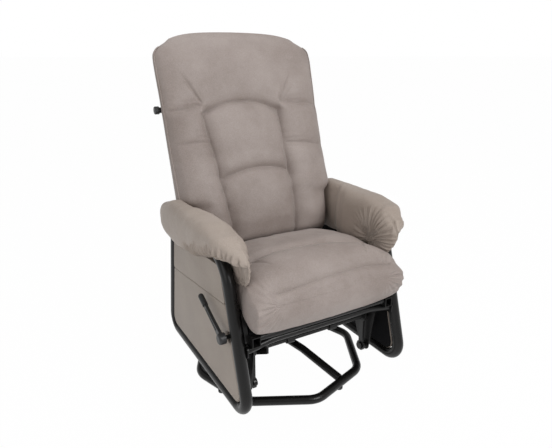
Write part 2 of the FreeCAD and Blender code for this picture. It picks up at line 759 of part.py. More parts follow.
def make_chair_frame():
    for name, side in SIDES.items():
        save("side_loop_" + name, loop_solid(side))
        save("seat_rail_" + name, seat_rail(side))
        lever_side = side == RIGHT
        save("front_hanger_" + name, hanger_plate(side, -LINK_PIVOT_Y, lever_side))
        save("rear_hanger_" + name, hanger_plate(side, LINK_PIVOT_Y, False))
    save("front_cross_tube", cross_tube(front_leg_y(CROSS_FRONT_Z), CROSS_FRONT_Z, CROSS_ARCH))
    save("rear_cross_tube", cross_tube(rear_leg_y(CROSS_REAR_Z), CROSS_REAR_Z, 0.0))
    bolts = []
    for name, y_of_leg in (("front", front_leg_y), ("rear", rear_leg_y)):
        brackets = []
        for side in (RIGHT, LEFT):
            bolt = bracket_bolt(side, y_of_leg)
            bolts.append(bolt)
            brackets.append(side_bracket(side, y_of_leg, side == RIGHT and name == "front").cut(bolt))
        save(name + "_seat_brackets", Part.makeCompound(brackets))
    save("bracket_bolts", Part.makeCompound(bolts))

    tubes = []
    for y in (SEAT_TUBE_FRONT, SEAT_TUBE_REAR):
        tube_z = RAIL_TOP_Z - SEAT_TUBE / 2.0
        ends = [Vector(-RAIL_IN_X, y, tube_z), Vector(RAIL_IN_X, y, tube_z)]
        tube = bent_tube(ends, [0, 0], SEAT_TUBE, TUBE_WALL)
        for side in (RIGHT, LEFT):
            for hanger_y in (-LINK_PIVOT_Y, LINK_PIVOT_Y):
                tube = tube.cut(hanger_plate(side, hanger_y, False))
        tubes.append(tube)
    save("seat_tubes", Part.makeCompound(tubes))

    pins = []
    for side in (RIGHT, LEFT):
        for y in (-LINK_PIVOT_Y, LINK_PIVOT_Y):
            inner = side * (LINK_X - LINK_THICK / 2.0 - 3.0)
            outer = side * (RAIL_IN_X - HANGER_THICK)
            pin = rod_x(AXLE_RADIUS, inner, outer, y, LINK_BOTTOM_Z)
            cap = rod_x(COLLAR_RADIUS, inner, inner - side * 3.0, y, LINK_BOTTOM_Z)
            pins.append(pin.fuse(cap).removeSplitter())
    save("hanger_pins", Part.makeCompound(pins))

    straps = []
    span = SEAT_TUBE_REAR - SEAT_TUBE_FRONT
    for i in range(WEBBING_STRAPS):
        y = SEAT_TUBE_FRONT + span * (i + 0.5) / WEBBING_STRAPS - WEBBING_WIDTH / 2.0
        straps.append(Part.makeBox(2 * RAIL_OUT_X - 6.0, WEBBING_WIDTH, WEBBING_THICK,
                                   Vector(-RAIL_OUT_X + 3.0, y, RAIL_TOP_Z)))
    save("seat_webbing", Part.makeCompound(straps))


# Upholstery on the chair frame

def seat_profile(x, inset, drop):
    """Outline of the seat cushion across one X position."""
    bottom = SEAT_UNDERSIDE + inset
    front = SEAT_FRONT + inset * 0.8
    rear = SEAT_REAR - inset * 0.6
    top_front = SEAT_TOP_FRONT - drop
    top_rear = SEAT_TOP_REAR - drop * 0.9
    middle_z = top_front + (top_rear - top_front) * 0.22
    points = [
        Vector(x, rear, bottom),
        Vector(x, front + 26.0, bottom),
        Vector(x, front + 10.0, bottom + 14.0),
        Vector(x, SEAT_FRONT_SEAM, top_front - SEAM_DEPTH - 6.0),
        Vector(x, SEAT_MIDDLE_SEAM, middle_z - SEAM_DEPTH + 6.0),
        Vector(x, 12.0, top_rear),
        Vector(x, rear, 388.0 - drop * 0.6),
    ]
    up = Z_AXIS
    edges = [
        Part.LineSegment(points[0], points[1]).toShape(),
        Part.LineSegment(points[1], points[2]).toShape(),
        arc_edge(points[2], points[3], 26.0 - inset * 0.3, Vector(0, -0.94, 0.34)),
        arc_edge(points[3], points[4], 11.0, up),
        arc_edge(points[4], points[5], 14.0, up),
        Part.LineSegment(points[5], points[6]).toShape(),
        Part.LineSegment(points[6], points[0]).toShape(),
    ]
    return Part.Wire(edges)


def make_seat_cushion():
    stations = [(1.0, 26.0, 52.0), (0.985, 12.0, 38.0), (0.93, 3.0, 20.0), (0.78, 0.0, 8.0), (0.45, 0.0, 2.0)]
    wires = [seat_profile(-share * SEAT_HALF_WIDTH, inset, drop) for share, inset, drop in stations]
    wires += [seat_profile(share * SEAT_HALF_WIDTH, inset, drop) for share, inset, drop in reversed(stations)]
    save("seat_cushion", solid_loft(wires))


def panel_outline(lower):
    """Corner points of one side panel piece inside its loop."""
    inset = LOOP_TUBE / 2.0 / math.cos(math.radians(16.6)) + PANEL_EDGE_GAP
    bottom = LOOP_RAIL_Z + LOOP_TUBE / 2.0 + PANEL_EDGE_GAP
    shift = -SEAM_GAP if lower else SEAM_GAP
    front_seam = seam_z(front_leg_y(SEAM_FRONT_Z) + inset) + shift
    rear_seam = seam_z(rear_leg_y(SEAM_REAR_Z) - inset) + shift
    if lower:
        return [
            (front_leg_y(bottom) + inset, bottom),
            (rear_leg_y(bottom) - inset, bottom),
            (rear_leg_y(rear_seam) - inset, rear_seam),
            (front_leg_y(front_seam) + inset, front_seam),
        ]
    front_top = pad_under_z(LOOP_ARM_FRONT) - PAD_CLEAR
    rear_top = pad_under_z(LOOP_ARM_REAR) - PAD_CLEAR
    return [
        (front_leg_y(front_seam) + inset, front_seam),
        (rear_leg_y(rear_seam) - inset, rear_seam),
        (rear_leg_y(rear_top) - inset, rear_top),
        (front_leg_y(front_top) + inset, front_top),
    ]


def make_side_panels():
    for name, side in SIDES.items():
        loop_space = loop_solid(side, PANEL_EDGE_GAP, 0)
        for level, lower in (("lower", True), ("upper", False)):
            radii = [30.0, 32.0, 8.0, 8.0] if lower else [8.0, 8.0, 18.0, 12.0]
            panel = plate_yz(panel_outline(lower), radii, side * PANEL_INNER_X, side * PANEL_OUTER_X)
            panel = panel.cut(loop_space)
            if side == RIGHT and lower:
                notch = plate_yz([
                    (front_leg_y(LEVER_Z) - 10.0, LEVER_Z - 14.0),
                    (LEVER_Y + 14.0, LEVER_Z - 14.0),
                    (LEVER_Y + 14.0, LEVER_Z + 14.0),
                    (front_leg_y(LEVER_Z) - 10.0, LEVER_Z + 14.0),
                ], [0, 13.0, 13.0, 0], side * (PANEL_INNER_X - 5.0), side * (PANEL_OUTER_X + 5.0))
                panel = panel.cut(notch)
            save("side_panel_" + level + "_" + name, max(panel.Solids, key=lambda solid: solid.Volume))


def pad_section(side, y, inner_x, outer_x, under_z, top_z):
    """Outline of an arm pad across one Y position, a rounded box with full sides."""
    half_width = (outer_x - inner_x) / 2.0
    half_height = (top_z - under_z) / 2.0
    points = []
    for i in range(PAD_FACETS):
        angle = 2.0 * math.pi * (i + 0.5) / PAD_FACETS
        across = math.copysign(abs(math.cos(angle)) ** PAD_FULLNESS, math.cos(angle))
        upward = math.copysign(abs(math.sin(angle)) ** PAD_FULLNESS, math.sin(angle))
        x = (inner_x + outer_x) / 2.0 + half_width * across
        points.append(Vector(side * x, y, (under_z + top_z) / 2.0 + half_height * upward))
    return Part.makePolygon(points + points[:1])


def make_arm_pads():
    length = PAD_REAR - PAD_FRONT
    stations = [
        (0.0, 24.0, 30.0, 28.0),
        (0.02, 10.0, 14.0, 14.0),
        (0.09, 1.0, 3.0, 3.0),
        (0.44, 0.0, 0.0, 0.0),
        (0.55, 0.0, 0.0, 2.0),
        (0.88, 1.0, 3.0, 8.0),
        (0.97, 9.0, 12.0, 24.0),
        (1.0, 24.0, 30.0, 44.0),
    ]
    for name, side in SIDES.items():
        wires = []
        for share, side_in, lift, drop in stations:
            y = PAD_FRONT + length * share
            inner = PAD_INNER_FRONT_X if share < 0.5 else PAD_INNER_REAR_X
            under = pad_under_z(y) + lift
            wires.append(pad_section(side, y, inner + side_in, PAD_OUTER_X - side_in, under, PAD_TOP_Z - drop))
        pad = solid_loft(wires).cut(loop_slot(side))
        save("arm_pad_" + name, max(pad.Solids, key=lambda solid: solid.Volume))


# Backrest, modelled upright about the hinge and then tilted

def back_point(x, depth, height):
    """Point of the upright backrest: depth is forward of the hinge, height above it."""
    return Vector(x, HINGE_Y - depth, HINGE_Z + height)


def tilted(shape):
    """Copy of an upright backrest piece leaned back to its rest angle."""
    piece = shape.copy()
    piece.rotate(Vector(0, HINGE_Y, HINGE_Z), X_AXIS, -BACK_TILT)
    return piece


def back_section(height, half_width, front, seam):
    """Outline of the back cushion at one height: two bolsters and a centre panel."""
    rear = SHELL_FRONT + SKIN_GAP
    seam_x = min(PANEL_HALF_WIDTH, half_width * 0.58)
    valley = front - seam
    cheek = rear + 0.6 * (front - rear)
    points = [
        back_point(-half_width + 8.0, rear, height),
        back_point(half_width - 8.0, rear, height),
        back_point(half_width - 20.0, cheek, height),
        back_point(seam_x, valley, height),
        back_point(-seam_x, valley, height),
        back_point(-half_width + 20.0, cheek, height),
    ]
    forward = Vector(0, -1, 0)
    edges = [
        Part.LineSegment(points[0], points[1]).toShape(),
        arc_edge(points[1], points[2], 14.0, X_AXIS),
        arc_edge(points[2], points[3], 14.0, forward),
        arc_edge(points[3], points[4], max(seam, 2.0), forward),
        arc_edge(points[4], points[5], 14.0, forward),
        arc_edge(points[5], points[0], 14.0, X_AXIS * -1.0),
    ]
    return Part.Wire(edges)


def make_back_cushion():
    waist = BACK_WAIST - 1.0
    shoulder = BACK_SHOULDER
    sections = [
        (BACK_BOTTOM, waist - 14.0, 132.0, 9.0),
        (BACK_BOTTOM + 16.0, waist, 154.0, 10.0),
        (BACK_BOTTOM + 90.0, waist, 164.0, 11.0),
        (LOWER_SEAM - 44.0, waist, 156.0, 10.0),
        (LOWER_SEAM, waist + 8.0, 129.0, 3.0),
        (LOWER_SEAM + 40.0, shoulder - 4.0, 137.0, 10.0),
        (LOWER_SEAM + 125.0, shoulder, 126.0, 10.0),
        (UPPER_SEAM - 36.0, shoulder, 114.0, 9.0),
        (UPPER_SEAM, shoulder, 95.0, 3.0),
        (UPPER_SEAM + 36.0, shoulder + 3.0, 107.0, 8.0),
        (UPPER_SEAM + 120.0, shoulder + 6.0, 102.0, 6.0),
        (BACK_TOP - 62.0, shoulder + 2.0, 92.0, 5.0),
        (BACK_TOP - 22.0, shoulder - 18.0, 86.0, 4.0),
        (BACK_TOP, shoulder - 52.0, 76.0, 3.0),
    ]
    wires = [back_section(*section) for section in sections]
    save("back_cushion", tilted(solid_loft(wires)))


def shell_plate(inset, depth_from, depth_to):
    """Slab with the back shell's outline, narrow between the arms and wide above them."""
    low = BACK_WAIST - 8.0 - inset
    high = BACK_SHOULDER - 10.0 - inset
    bottom = BACK_BOTTOM + 2.0
    top = BACK_TOP - 14.0 - inset
    outline = [
        (-low, bottom), (low, bottom), (low, 250.0), (high, 305.0), (high, top), (-high, top), (-high, 305.0), (-low, 250.0),
    ]
    radii = [12.0, 12.0, 40.0, 40.0, 58.0, 58.0, 40.0, 40.0]
    points = [back_point(x, depth_from, height) for x, height in outline]
    face = Part.Face(rounded_wire(points, radii))
    return face.extrude(Vector(0, depth_from - depth_to, 0))


def make_backrest():
    tray = shell_plate(0.0, SHELL_REAR, SHELL_FRONT)
    hollow = shell_plate(SHELL_WALL, SHELL_REAR + SHELL_WALL, SHELL_FRONT + 1.0)
    mouth = Part.makeBox(2 * (BACK_WAIST - 24.0), SHELL_FRONT - SHELL_REAR - SHELL_WALL + 2.0, 30.0,
                         back_point(-BACK_WAIST + 24.0, SHELL_FRONT + 2.0, BACK_BOTTOM - 10.0))
    shell = tray.cut(hollow).cut(mouth)
    spindle = rod_x(SPINDLE_RADIUS + 3.0, RIGHT * 320.0, RIGHT * 240.0, HINGE_Y - KNOB_DEPTH, HINGE_Z + KNOB_HEIGHT)
    shell = shell.cut(spindle)
    save("back_shell", tilted(shell))

    arm_out = HINGE_BASE_X - DISC_THICK - DISC_PLAY
    arm_in = arm_out - HINGE_PLATE_THICK
    tube_x = arm_in - BACK_TUBE / 2.0
    points = [
        back_point(-tube_x, BACK_TUBE_DEPTH, BACK_TUBE_FOOT),
        back_point(-tube_x, BACK_TUBE_DEPTH, BACK_FRAME_TOP),
        back_point(tube_x, BACK_TUBE_DEPTH, BACK_FRAME_TOP),
        back_point(tube_x, BACK_TUBE_DEPTH, BACK_TUBE_FOOT),
    ]
    hoop = bent_tube(points, [0, BACK_FRAME_BEND, BACK_FRAME_BEND, 0], BACK_TUBE, TUBE_WALL)
    save("back_frame_hoop", tilted(hoop))
    hoop_space = bent_tube(points, [0, BACK_FRAME_BEND, BACK_FRAME_BEND, 0], BACK_TUBE, 0)

    bars = []
    for height in (150.0, 400.0):
        bar = Part.makeBox(2 * tube_x, 4.0, 34.0, back_point(-tube_x, BACK_TUBE_DEPTH + 2.0, height))
        bars.append(bar.cut(hoop_space))
    save("back_frame_bars", tilted(Part.makeCompound(bars)))

    arms = []
    for side in (RIGHT, LEFT):
        outline = [(-18.0, -20.0), (18.0, -20.0), (39.0, 34.0), (39.0, 175.0), (25.0, 175.0), (25.0, 40.0)]
        corners = [(HINGE_Y - depth, HINGE_Z + height) for depth, height in outline]
        arm = plate_yz(corners, [11.0, 12.0, 16.0, 6.0, 6.0, 18.0], side * arm_in, side * arm_out)
        arm = arm.cut(rod_x(HINGE_PIN_RADIUS + RUNNING_FIT, side * arm_in, side * arm_out, HINGE_Y, HINGE_Z))
        arms.append(tilted(arm))
    save("back_hinge_arms", Part.makeCompound(arms))

    bush_in = BACK_SHOULDER - 10.0 - SHELL_WALL - 4.0
    bush_out = BACK_SHOULDER - 10.0 + 2.0
    bush = ring_x(SPINDLE_RADIUS + 3.0, SPINDLE_RADIUS + RUNNING_FIT, RIGHT * bush_in, RIGHT * bush_out,
                  HINGE_Y - KNOB_DEPTH, HINGE_Z + KNOB_HEIGHT)
    save("knob_bush", tilted(bush))


def make_back_hinge_base():
    bases = []
    discs = []
    pins = []
    for side in (RIGHT, LEFT):
        outline = [
            (HINGE_Y - 30.0, RAIL_TOP_Z),
            (HINGE_Y + 34.0, RAIL_TOP_Z),
            (HINGE_Y + HINGE_PLATE_RADIUS, HINGE_Z + HINGE_PLATE_RADIUS),
            (HINGE_Y - HINGE_PLATE_RADIUS, HINGE_Z + HINGE_PLATE_RADIUS),
        ]
        base_out = HINGE_BASE_X + HINGE_PLATE_THICK
        plate = plate_yz(outline, [2.0, 2.0, 20.0, 20.0], side * HINGE_BASE_X, side * base_out)
        plate = plate.cut(rod_x(HINGE_PIN_RADIUS, side * HINGE_BASE_X, side * base_out, HINGE_Y, HINGE_Z))
        bases.append(plate)
        disc_in = HINGE_BASE_X - DISC_THICK
        discs.append(ring_x(DISC_RADIUS, HINGE_PIN_RADIUS, side * disc_in, side * HINGE_BASE_X, HINGE_Y, HINGE_Z))
        arm_in = disc_in - DISC_PLAY - HINGE_PLATE_THICK
        clip_out = arm_in - 0.3
        pin = rod_x(HINGE_PIN_RADIUS, side * (clip_out - 4.0), side * (base_out + 4.0), HINGE_Y, HINGE_Z)
        clip = rod_x(HINGE_PIN_RADIUS + 4.0, side * (clip_out - 4.0), side * clip_out, HINGE_Y, HINGE_Z)
        head = rod_x(HINGE_PIN_RADIUS + 4.0, side * base_out, side * (base_out + 4.0), HINGE_Y, HINGE_Z)
        pins.append(pin.multiFuse([clip, head]).removeSplitter())
    save("back_hinge_bases", Part.makeCompound(bases))
    save("recline_discs", Part.makeCompound(discs))
    save("back_hinge_pins", Part.makeCompound(pins))


# Glide lock lever and recline knob

def make_lock_lever():
    shaft = rod_x(LEVER_SHAFT_RADIUS, RIGHT * (PAWL_X - 4.0), RIGHT * LEVER_HUB_X, LEVER_Y, LEVER_Z)
    save("lever_shaft", shaft)

    hub_out = LEVER_HUB_X + LEVER_HUB_LENGTH
    hub = rod_x(LEVER_HUB_RADIUS, RIGHT * LEVER_HUB_X, RIGHT * hub_out, LEVER_Y, LEVER_Z)
    rim = [edge for edge in hub.Edges if abs(edge.BoundBox.XMin + hub_out) < 0.01 and abs(edge.BoundBox.XMax + hub_out) < 0.01]
    hub = hub.makeFillet(6.0, rim)
    save("lever_hub", hub)

    arm_in = LEVER_HUB_X + 4.0
    arm_out = arm_in + LEVER_ARM_THICK
    tip = LEVER_Y + LEVER_LENGTH
    outline = [
        (LEVER_Y, LEVER_Z - 11.0),
        (LEVER_Y + 60.0, LEVER_Z - 7.5),
        (tip - GRIP_LENGTH, LEVER_Z - 6.5),
        (tip - GRIP_LENGTH, LEVER_Z + 6.5),
        (LEVER_Y + 60.0, LEVER_Z + 7.5),
        (LEVER_Y, LEVER_Z + 11.0),
    ]
    arm = plate_yz(outline, [0, 60.0, 0, 0, 60.0, 0], RIGHT * arm_in, RIGHT * arm_out)
    groove = plate_yz([
        (LEVER_Y + 30.0, LEVER_Z - 2.5), (tip - 56.0, LEVER_Z - 2.5),
        (tip - 56.0, LEVER_Z + 2.5), (LEVER_Y + 30.0, LEVER_Z + 2.5),
    ], [2.4] * 4, RIGHT * (arm_out - 2.0), RIGHT * (arm_out + 1.0))
    arm = arm.cut(groove).cut(hub)
    pivot = Vector(0, LEVER_Y, LEVER_Z)
    arm.rotate(pivot, X_AXIS, LEVER_RISE)
    save("lever_arm", arm)

    grip_x = RIGHT * (arm_in + LEVER_ARM_THICK / 2.0)
    grip = round_ended_rod(GRIP_RADIUS, GRIP_LENGTH, Vector(grip_x, tip - GRIP_LENGTH, LEVER_Z))
    grip.rotate(pivot, X_AXIS, LEVER_RISE)
    save("lever_grip", grip)

    x_from = RIGHT * PAWL_X
    x_to = RIGHT * (PAWL_X + PAWL_THICK)
    pawl = rod_x(12.0, x_from, x_to, LEVER_Y, LEVER_Z)
    tooth = plate_yz([
        (LEVER_Y - PAWL_HALF_WIDTH, LEVER_Z - PAWL_REACH),
        (LEVER_Y + PAWL_HALF_WIDTH, LEVER_Z - PAWL_REACH),
        (LEVER_Y + PAWL_HALF_WIDTH + 3.0, LEVER_Z),
        (LEVER_Y - PAWL_HALF_WIDTH - 3.0, LEVER_Z),
    ], [0] * 4, x_from, x_to)
    pawl = pawl.fuse(tooth).removeSplitter()
    pawl = pawl.cut(rod_x(LEVER_SHAFT_RADIUS, x_from, x_to, LEVER_Y, LEVER_Z))
    pawl.rotate(pivot, X_AXIS, LEVER_SWING)
    save("lock_pawl", pawl)

    bush = ring_x(LEVER_SHAFT_RADIUS + 3.0, LEVER_SHAFT_RADIUS + RUNNING_FIT, RIGHT * RAIL_IN_X, RIGHT * RAIL_OUT_X,
                  LEVER_Y, LEVER_Z)
    save("lever_bush", bush)


def make_recline_knob():
    y = HINGE_Y - KNOB_DEPTH
    z = HINGE_Z + KNOB_HEIGHT
    inner = BACK_SHOULDER + 4.0
    cap_in = inner + 8.0
    cap_out = inner + KNOB_LENGTH
    neck = rod_x(KNOB_RADIUS - 3.5, RIGHT * inner, RIGHT * cap_in, y, z)
    cap = rod_x(KNOB_RADIUS, RIGHT * cap_in, RIGHT * cap_out, y, z)
    rim = [edge for edge in cap.Edges if abs(edge.BoundBox.XMin + cap_out) < 0.01 and abs(edge.BoundBox.XMax + cap_out) < 0.01]
    cap = cap.makeFillet(2.5, rim)
    knob = neck.fuse(cap).removeSplitter()
    flutes = 12
    for i in range(flutes):
        angle = math.radians(360.0 / flutes * i)
        groove = rod_x(1.6, RIGHT * cap_in, RIGHT * cap_out, y + (KNOB_RADIUS + 0.7) * math.cos(angle), z + (KNOB_RADIUS + 0.7) * math.sin(angle))
        knob = knob.cut(groove)
    save("recline_knob", tilted(knob))
    spindle_in = BACK_SHOULDER - 10.0 - SHELL_WALL - 14.0
    save("knob_spindle", tilted(rod_x(SPINDLE_RADIUS, RIGHT * spindle_in, RIGHT * inner, y, z)))


make_base()
make_swivel_frame()
make_links()
make_chair_frame()
make_seat_cushion()
make_side_panels()
make_arm_pads()
make_back_hinge_base()
make_backrest()
make_back_cushion()
make_lock_lever()
make_recline_knob()
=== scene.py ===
"""Looks of a swivel glider recliner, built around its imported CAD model."""
import json
import logging
import math
from dataclasses import dataclass, field
from enum import Enum
from typing import Any, Callable, Iterable, Sequence

import bmesh
import bpy
from mathutils import Matrix, Vector, noise


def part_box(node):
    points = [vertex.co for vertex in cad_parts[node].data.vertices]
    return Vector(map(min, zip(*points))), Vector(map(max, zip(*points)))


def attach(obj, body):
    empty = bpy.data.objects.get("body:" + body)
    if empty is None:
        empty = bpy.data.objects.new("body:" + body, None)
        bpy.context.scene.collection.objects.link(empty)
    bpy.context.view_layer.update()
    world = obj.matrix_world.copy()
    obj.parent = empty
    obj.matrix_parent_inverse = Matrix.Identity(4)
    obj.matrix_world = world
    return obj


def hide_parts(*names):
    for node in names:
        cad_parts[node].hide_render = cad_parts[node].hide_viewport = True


LOG = logging.getLogger("recliner")
ORIGIN_BACK = 0.009
HOLD_GROUP = "held"
SETTLE_PRESSURE = 1.6
SETTLE_FRAMES = 12
REFINE_LEVELS = 2
WHITE = (1.0, 1.0, 1.0, 1.0)


class Body(Enum):
    """Moving bodies that the soft pieces ride on."""

    CHAIR = "chair_frame"
    BACK = "backrest"


class Side(Enum):
    """The sitter's right, at -X, and left, at +X."""

    RIGHT = -1
    LEFT = 1


# Small maths

def smooth(low: float, high: float, value: float) -> float:
    """Smooth step from 0 at low to 1 at high."""
    t = min(max((value - low) / (high - low), 0.0), 1.0)
    return t * t * (3.0 - 2.0 * t)


def table(points: Sequence[tuple[float, float]], value: float) -> float:
    """Smoothly joined value between listed points.

    Args:
        points: Pairs of place and value, in rising order of place.
        value: The place to read.

    Returns:
        The value there, held at the ends.
    """
    if value <= points[0][0]:
        return points[0][1]
    for (x0, y0), (x1, y1) in zip(points, points[1:]):
        if value <= x1:
            t = (value - x0) / (x1 - x0)
            t = t * t * (3.0 - 2.0 * t)
            return y0 + (y1 - y0) * t
    return points[-1][1]


def groove(distance: float, width: float) -> float:
    """Depth of a sewn channel at a distance from its seam, 1 on the seam."""
    t = distance / width
    return 1.0 / (1.0 + t * t)


def cusp(distance: float, width: float) -> float:
    """Sharp valley of a tight seam, 1 on the seam."""
    return math.exp(-abs(distance) / width)


def near_line(point: Vector, start: tuple[float, float], end: tuple[float, float]) -> tuple[float, float]:
    """Share along a crease and the distance from it."""
    first = Vector(start)
    run = Vector(end) - first
    along = min(max((point - first).dot(run) / run.length_squared, 0.0), 1.0)
    return along, (point - (first + run * along)).length


def grain(point: Vector, scale: float, seed: float = 0.0) -> float:
    """Soft noise between -1 and 1 that is the same at each run."""
    place = (point.x * scale + seed, point.y * scale - seed, point.z * scale + 2.0 * seed)
    return noise.noise(Vector(place))


def dents(point: Vector, layers: Sequence[tuple[float, float, float]]) -> float:
    """Soft unevenness of a filled piece, from layers of noise with a height, a scale and a seed."""
    return sum(height * grain(point, scale, seed) for height, scale, seed in layers)


@dataclass(frozen=True)
class Seam:
    """Depth and width of a seam."""

    depth: float
    width: float

    def stitch(self, distance: float) -> float:
        """Pull of the thread at a distance from the seam."""
        return self.depth * cusp(distance, self.width)

    def channel(self, distance: float) -> float:
        """Fall of the filling towards the seam."""
        return self.depth * groove(distance, self.width)


# Materials

class Val:
    """A shader socket whose operators add Math nodes."""

    def __init__(self, maker: "Shader", socket: Any) -> None:
        """Keep the tree's maker and the socket."""
        self.maker = maker
        self.socket = socket

    def _math(self, operation: str, first: Any, second: Any) -> "Val":
        """One Math node on two values."""
        return self.maker.node("ShaderNodeMath", {"operation": operation}, {0: first, 1: second})

    def __add__(self, other: Any) -> "Val":
        """Sum."""
        return self._math("ADD", self, other)

    __radd__ = __add__

    def __mul__(self, other: Any) -> "Val":
        """Product."""
        return self._math("MULTIPLY", self, other)

    __rmul__ = __mul__


class Shader:
    """Builds one node material."""

    def __init__(self, name: str) -> None:
        """Start an empty material of that name."""
        self.material = bpy.data.materials.new(name)
        self.material.use_nodes = True
        self.tree = self.material.node_tree
        self.tree.nodes.clear()
        self.output = self.tree.nodes.new("ShaderNodeOutputMaterial")

    def node(self, kind: str, settings: dict[str, Any], inputs: dict[Any, Any], out: Any = 0) -> Val:
        """Add a node.

        Args:
            kind: The node's type.
            settings: Its own settings, set first; a key "stops" fills a colour ramp.
            inputs: Values or links of its sockets by name or number.
            out: The output socket to give back.

        Returns:
            The wrapped output socket.
        """
        made = self.tree.nodes.new(kind)
        for key, value in settings.items():
            if key == "stops":
                ramp = made.color_ramp
                while len(ramp.elements) < len(value):
                    ramp.elements.new(0.5)
                for element, (place, colour) in zip(ramp.elements, value):
                    element.position = place
                    element.color = (*colour, 1.0)
            else:
                setattr(made, key, value)
        for key, value in inputs.items():
            if isinstance(value, Val):
                self.tree.links.new(value.socket, made.inputs[key])
            else:
                made.inputs[key].default_value = value
        return Val(self, made.outputs[out])

    def place(self, stretch: tuple[float, float, float] = (1.0, 1.0, 1.0)) -> Val:
        """Object coordinates, stretched."""
        coordinates = self.node("ShaderNodeTexCoord", {}, {}, "Object")
        return self.node("ShaderNodeMapping", {}, {"Vector": coordinates, "Scale": stretch})

    def noise(self, scale: float, detail: float = 3.0, rough: float = 0.5,
              stretch: tuple[float, float, float] = (1.0, 1.0, 1.0)) -> Val:
        """Noise texture in object coordinates."""
        inputs = {"Vector": self.place(stretch), "Scale": scale, "Detail": detail, "Roughness": rough}
        return self.node("ShaderNodeTexNoise", {}, inputs)

    def cells(self, scale: float) -> Val:
        """Distance in a cell texture, for leather pebbles."""
        inputs = {"Vector": self.place(), "Scale": scale}
        return self.node("ShaderNodeTexVoronoi", {"feature": "F1"}, inputs)

    def ramp(self, value: Val, stops: Sequence[tuple[float, tuple[float, float, float]]]) -> Val:
        """Colour ramp over a value."""
        return self.node("ShaderNodeValToRGB", {"stops": list(stops)}, {"Fac": value})

    def mix(self, factor: Any, first: Any, second: Any) -> Val:
        """Colour mix of two colours."""
        settings = {"data_type": "RGBA", "blend_type": "MIX"}
        return self.node("ShaderNodeMix", settings, {0: factor, 6: first, 7: second}, 2)

    def bump(self, height: Val, distance: float, strength: float) -> Val:
        """Bump node on a height."""
        inputs = {"Height": height, "Distance": distance, "Strength": strength}
        return self.node("ShaderNodeBump", {}, inputs)

    def principled(self, inputs: dict[str, Any]) -> bpy.types.Material:
        """Close the material with a Principled shader."""
        surface = self.node("ShaderNodeBsdfPrincipled", {}, inputs)
        self.tree.links.new(surface.socket, self.output.inputs["Surface"])
        return self.material


def rgb(red: float, green: float, blue: float) -> tuple[float, float, float, float]:
    """Opaque linear colour."""
    return (red, green, blue, 1.0)


@dataclass(frozen=True)
class Hide:
    """Soft brushed upholstery hide with cloudy tone and a fine pebble."""

    name: str
    light: tuple[float, float, float] = (0.384, 0.328, 0.304)
    dark: tuple[float, float, float] = (0.240, 0.194, 0.172)
    roughness: float = 0.52

    def make(self) -> bpy.types.Material:
        """Build the material."""
        shader = Shader(self.name)
        cloud = shader.noise(5.0, 5.0, 0.62)
        fleck = shader.noise(420.0, 3.0, 0.7)
        tone = cloud * 0.55 + fleck * 0.45
        colour = shader.ramp(tone, [(0.36, self.dark), (0.62, self.light)])
        weave = shader.noise(900.0, 2.0, 0.5, (1.0, 1.0, 0.35))
        colour = shader.mix(weave * 0.16, colour, rgb(*[0.62 * c for c in self.dark]))
        pebble = shader.cells(700.0)
        creases = shader.noise(60.0, 6.0, 0.68)
        height = pebble * 0.45 + creases * 0.8 + fleck * 0.3
        relief = shader.bump(height, 0.0013, 0.55)
        rough = cloud * 0.16 + (self.roughness - 0.08)
        return shader.principled({
            "Base Color": colour, "Roughness": rough, "Normal": relief,
            "Specular IOR Level": 0.42, "Sheen Weight": 0.10, "Sheen Roughness": 0.45,
        })


@dataclass(frozen=True)
class Enamel:
    """Black stoved enamel on steel, with a faint orange peel and worn sheen."""

    name: str
    tone: float = 0.005
    roughness: float = 0.27

    def make(self) -> bpy.types.Material:
        """Build the material."""
        shader = Shader(self.name)
        peel = shader.noise(260.0, 2.0, 0.5)
        wear = shader.noise(11.0, 4.0, 0.6)
        base = (self.tone * 1.05, self.tone, self.tone * 0.98)
        colour = shader.ramp(wear, [(0.3, base), (0.75, tuple(1.5 * c for c in base))])
        rough = wear * 0.14 + (self.roughness - 0.05)
        relief = shader.bump(peel, 0.0005, 0.22)
        return shader.principled({
            "Base Color": colour, "Roughness": rough, "Normal": relief, "Specular IOR Level": 0.30,
        })


@dataclass(frozen=True)
class BrightSteel:
    """Zinc plated steel with fine turning marks."""

    name: str

    def make(self) -> bpy.types.Material:
        """Build the material."""
        shader = Shader(self.name)
        marks = shader.noise(900.0, 2.0, 0.6, (1.0, 0.12, 0.12))
        cloud = shader.noise(40.0, 3.0, 0.6)
        colour = shader.ramp(cloud, [(0.3, (0.42, 0.42, 0.43)), (0.7, (0.56, 0.56, 0.57))])
        relief = shader.bump(marks, 0.0002, 0.3)
        rough = cloud * 0.2 + 0.22
        return shader.principled({
            "Base Color": colour, "Metallic": 1.0, "Roughness": rough, "Normal": relief,
        })


@dataclass(frozen=True)
class Moulded:
    """Moulded plastic with a fine spark texture."""

    name: str
    tone: tuple[float, float, float] = (0.014, 0.014, 0.015)
    roughness: float = 0.42

    def make(self) -> bpy.types.Material:
        """Build the material."""
        shader = Shader(self.name)
        spark = shader.noise(1600.0, 2.0, 0.6)
        cloud = shader.noise(25.0, 3.0, 0.5)
        colour = shader.ramp(cloud, [(0.3, self.tone), (0.7, tuple(1.35 * c for c in self.tone))])
        relief = shader.bump(spark, 0.0002, 0.35)
        rough = cloud * 0.12 + (self.roughness - 0.04)
        return shader.principled({"Base Color": colour, "Roughness": rough, "Normal": relief})


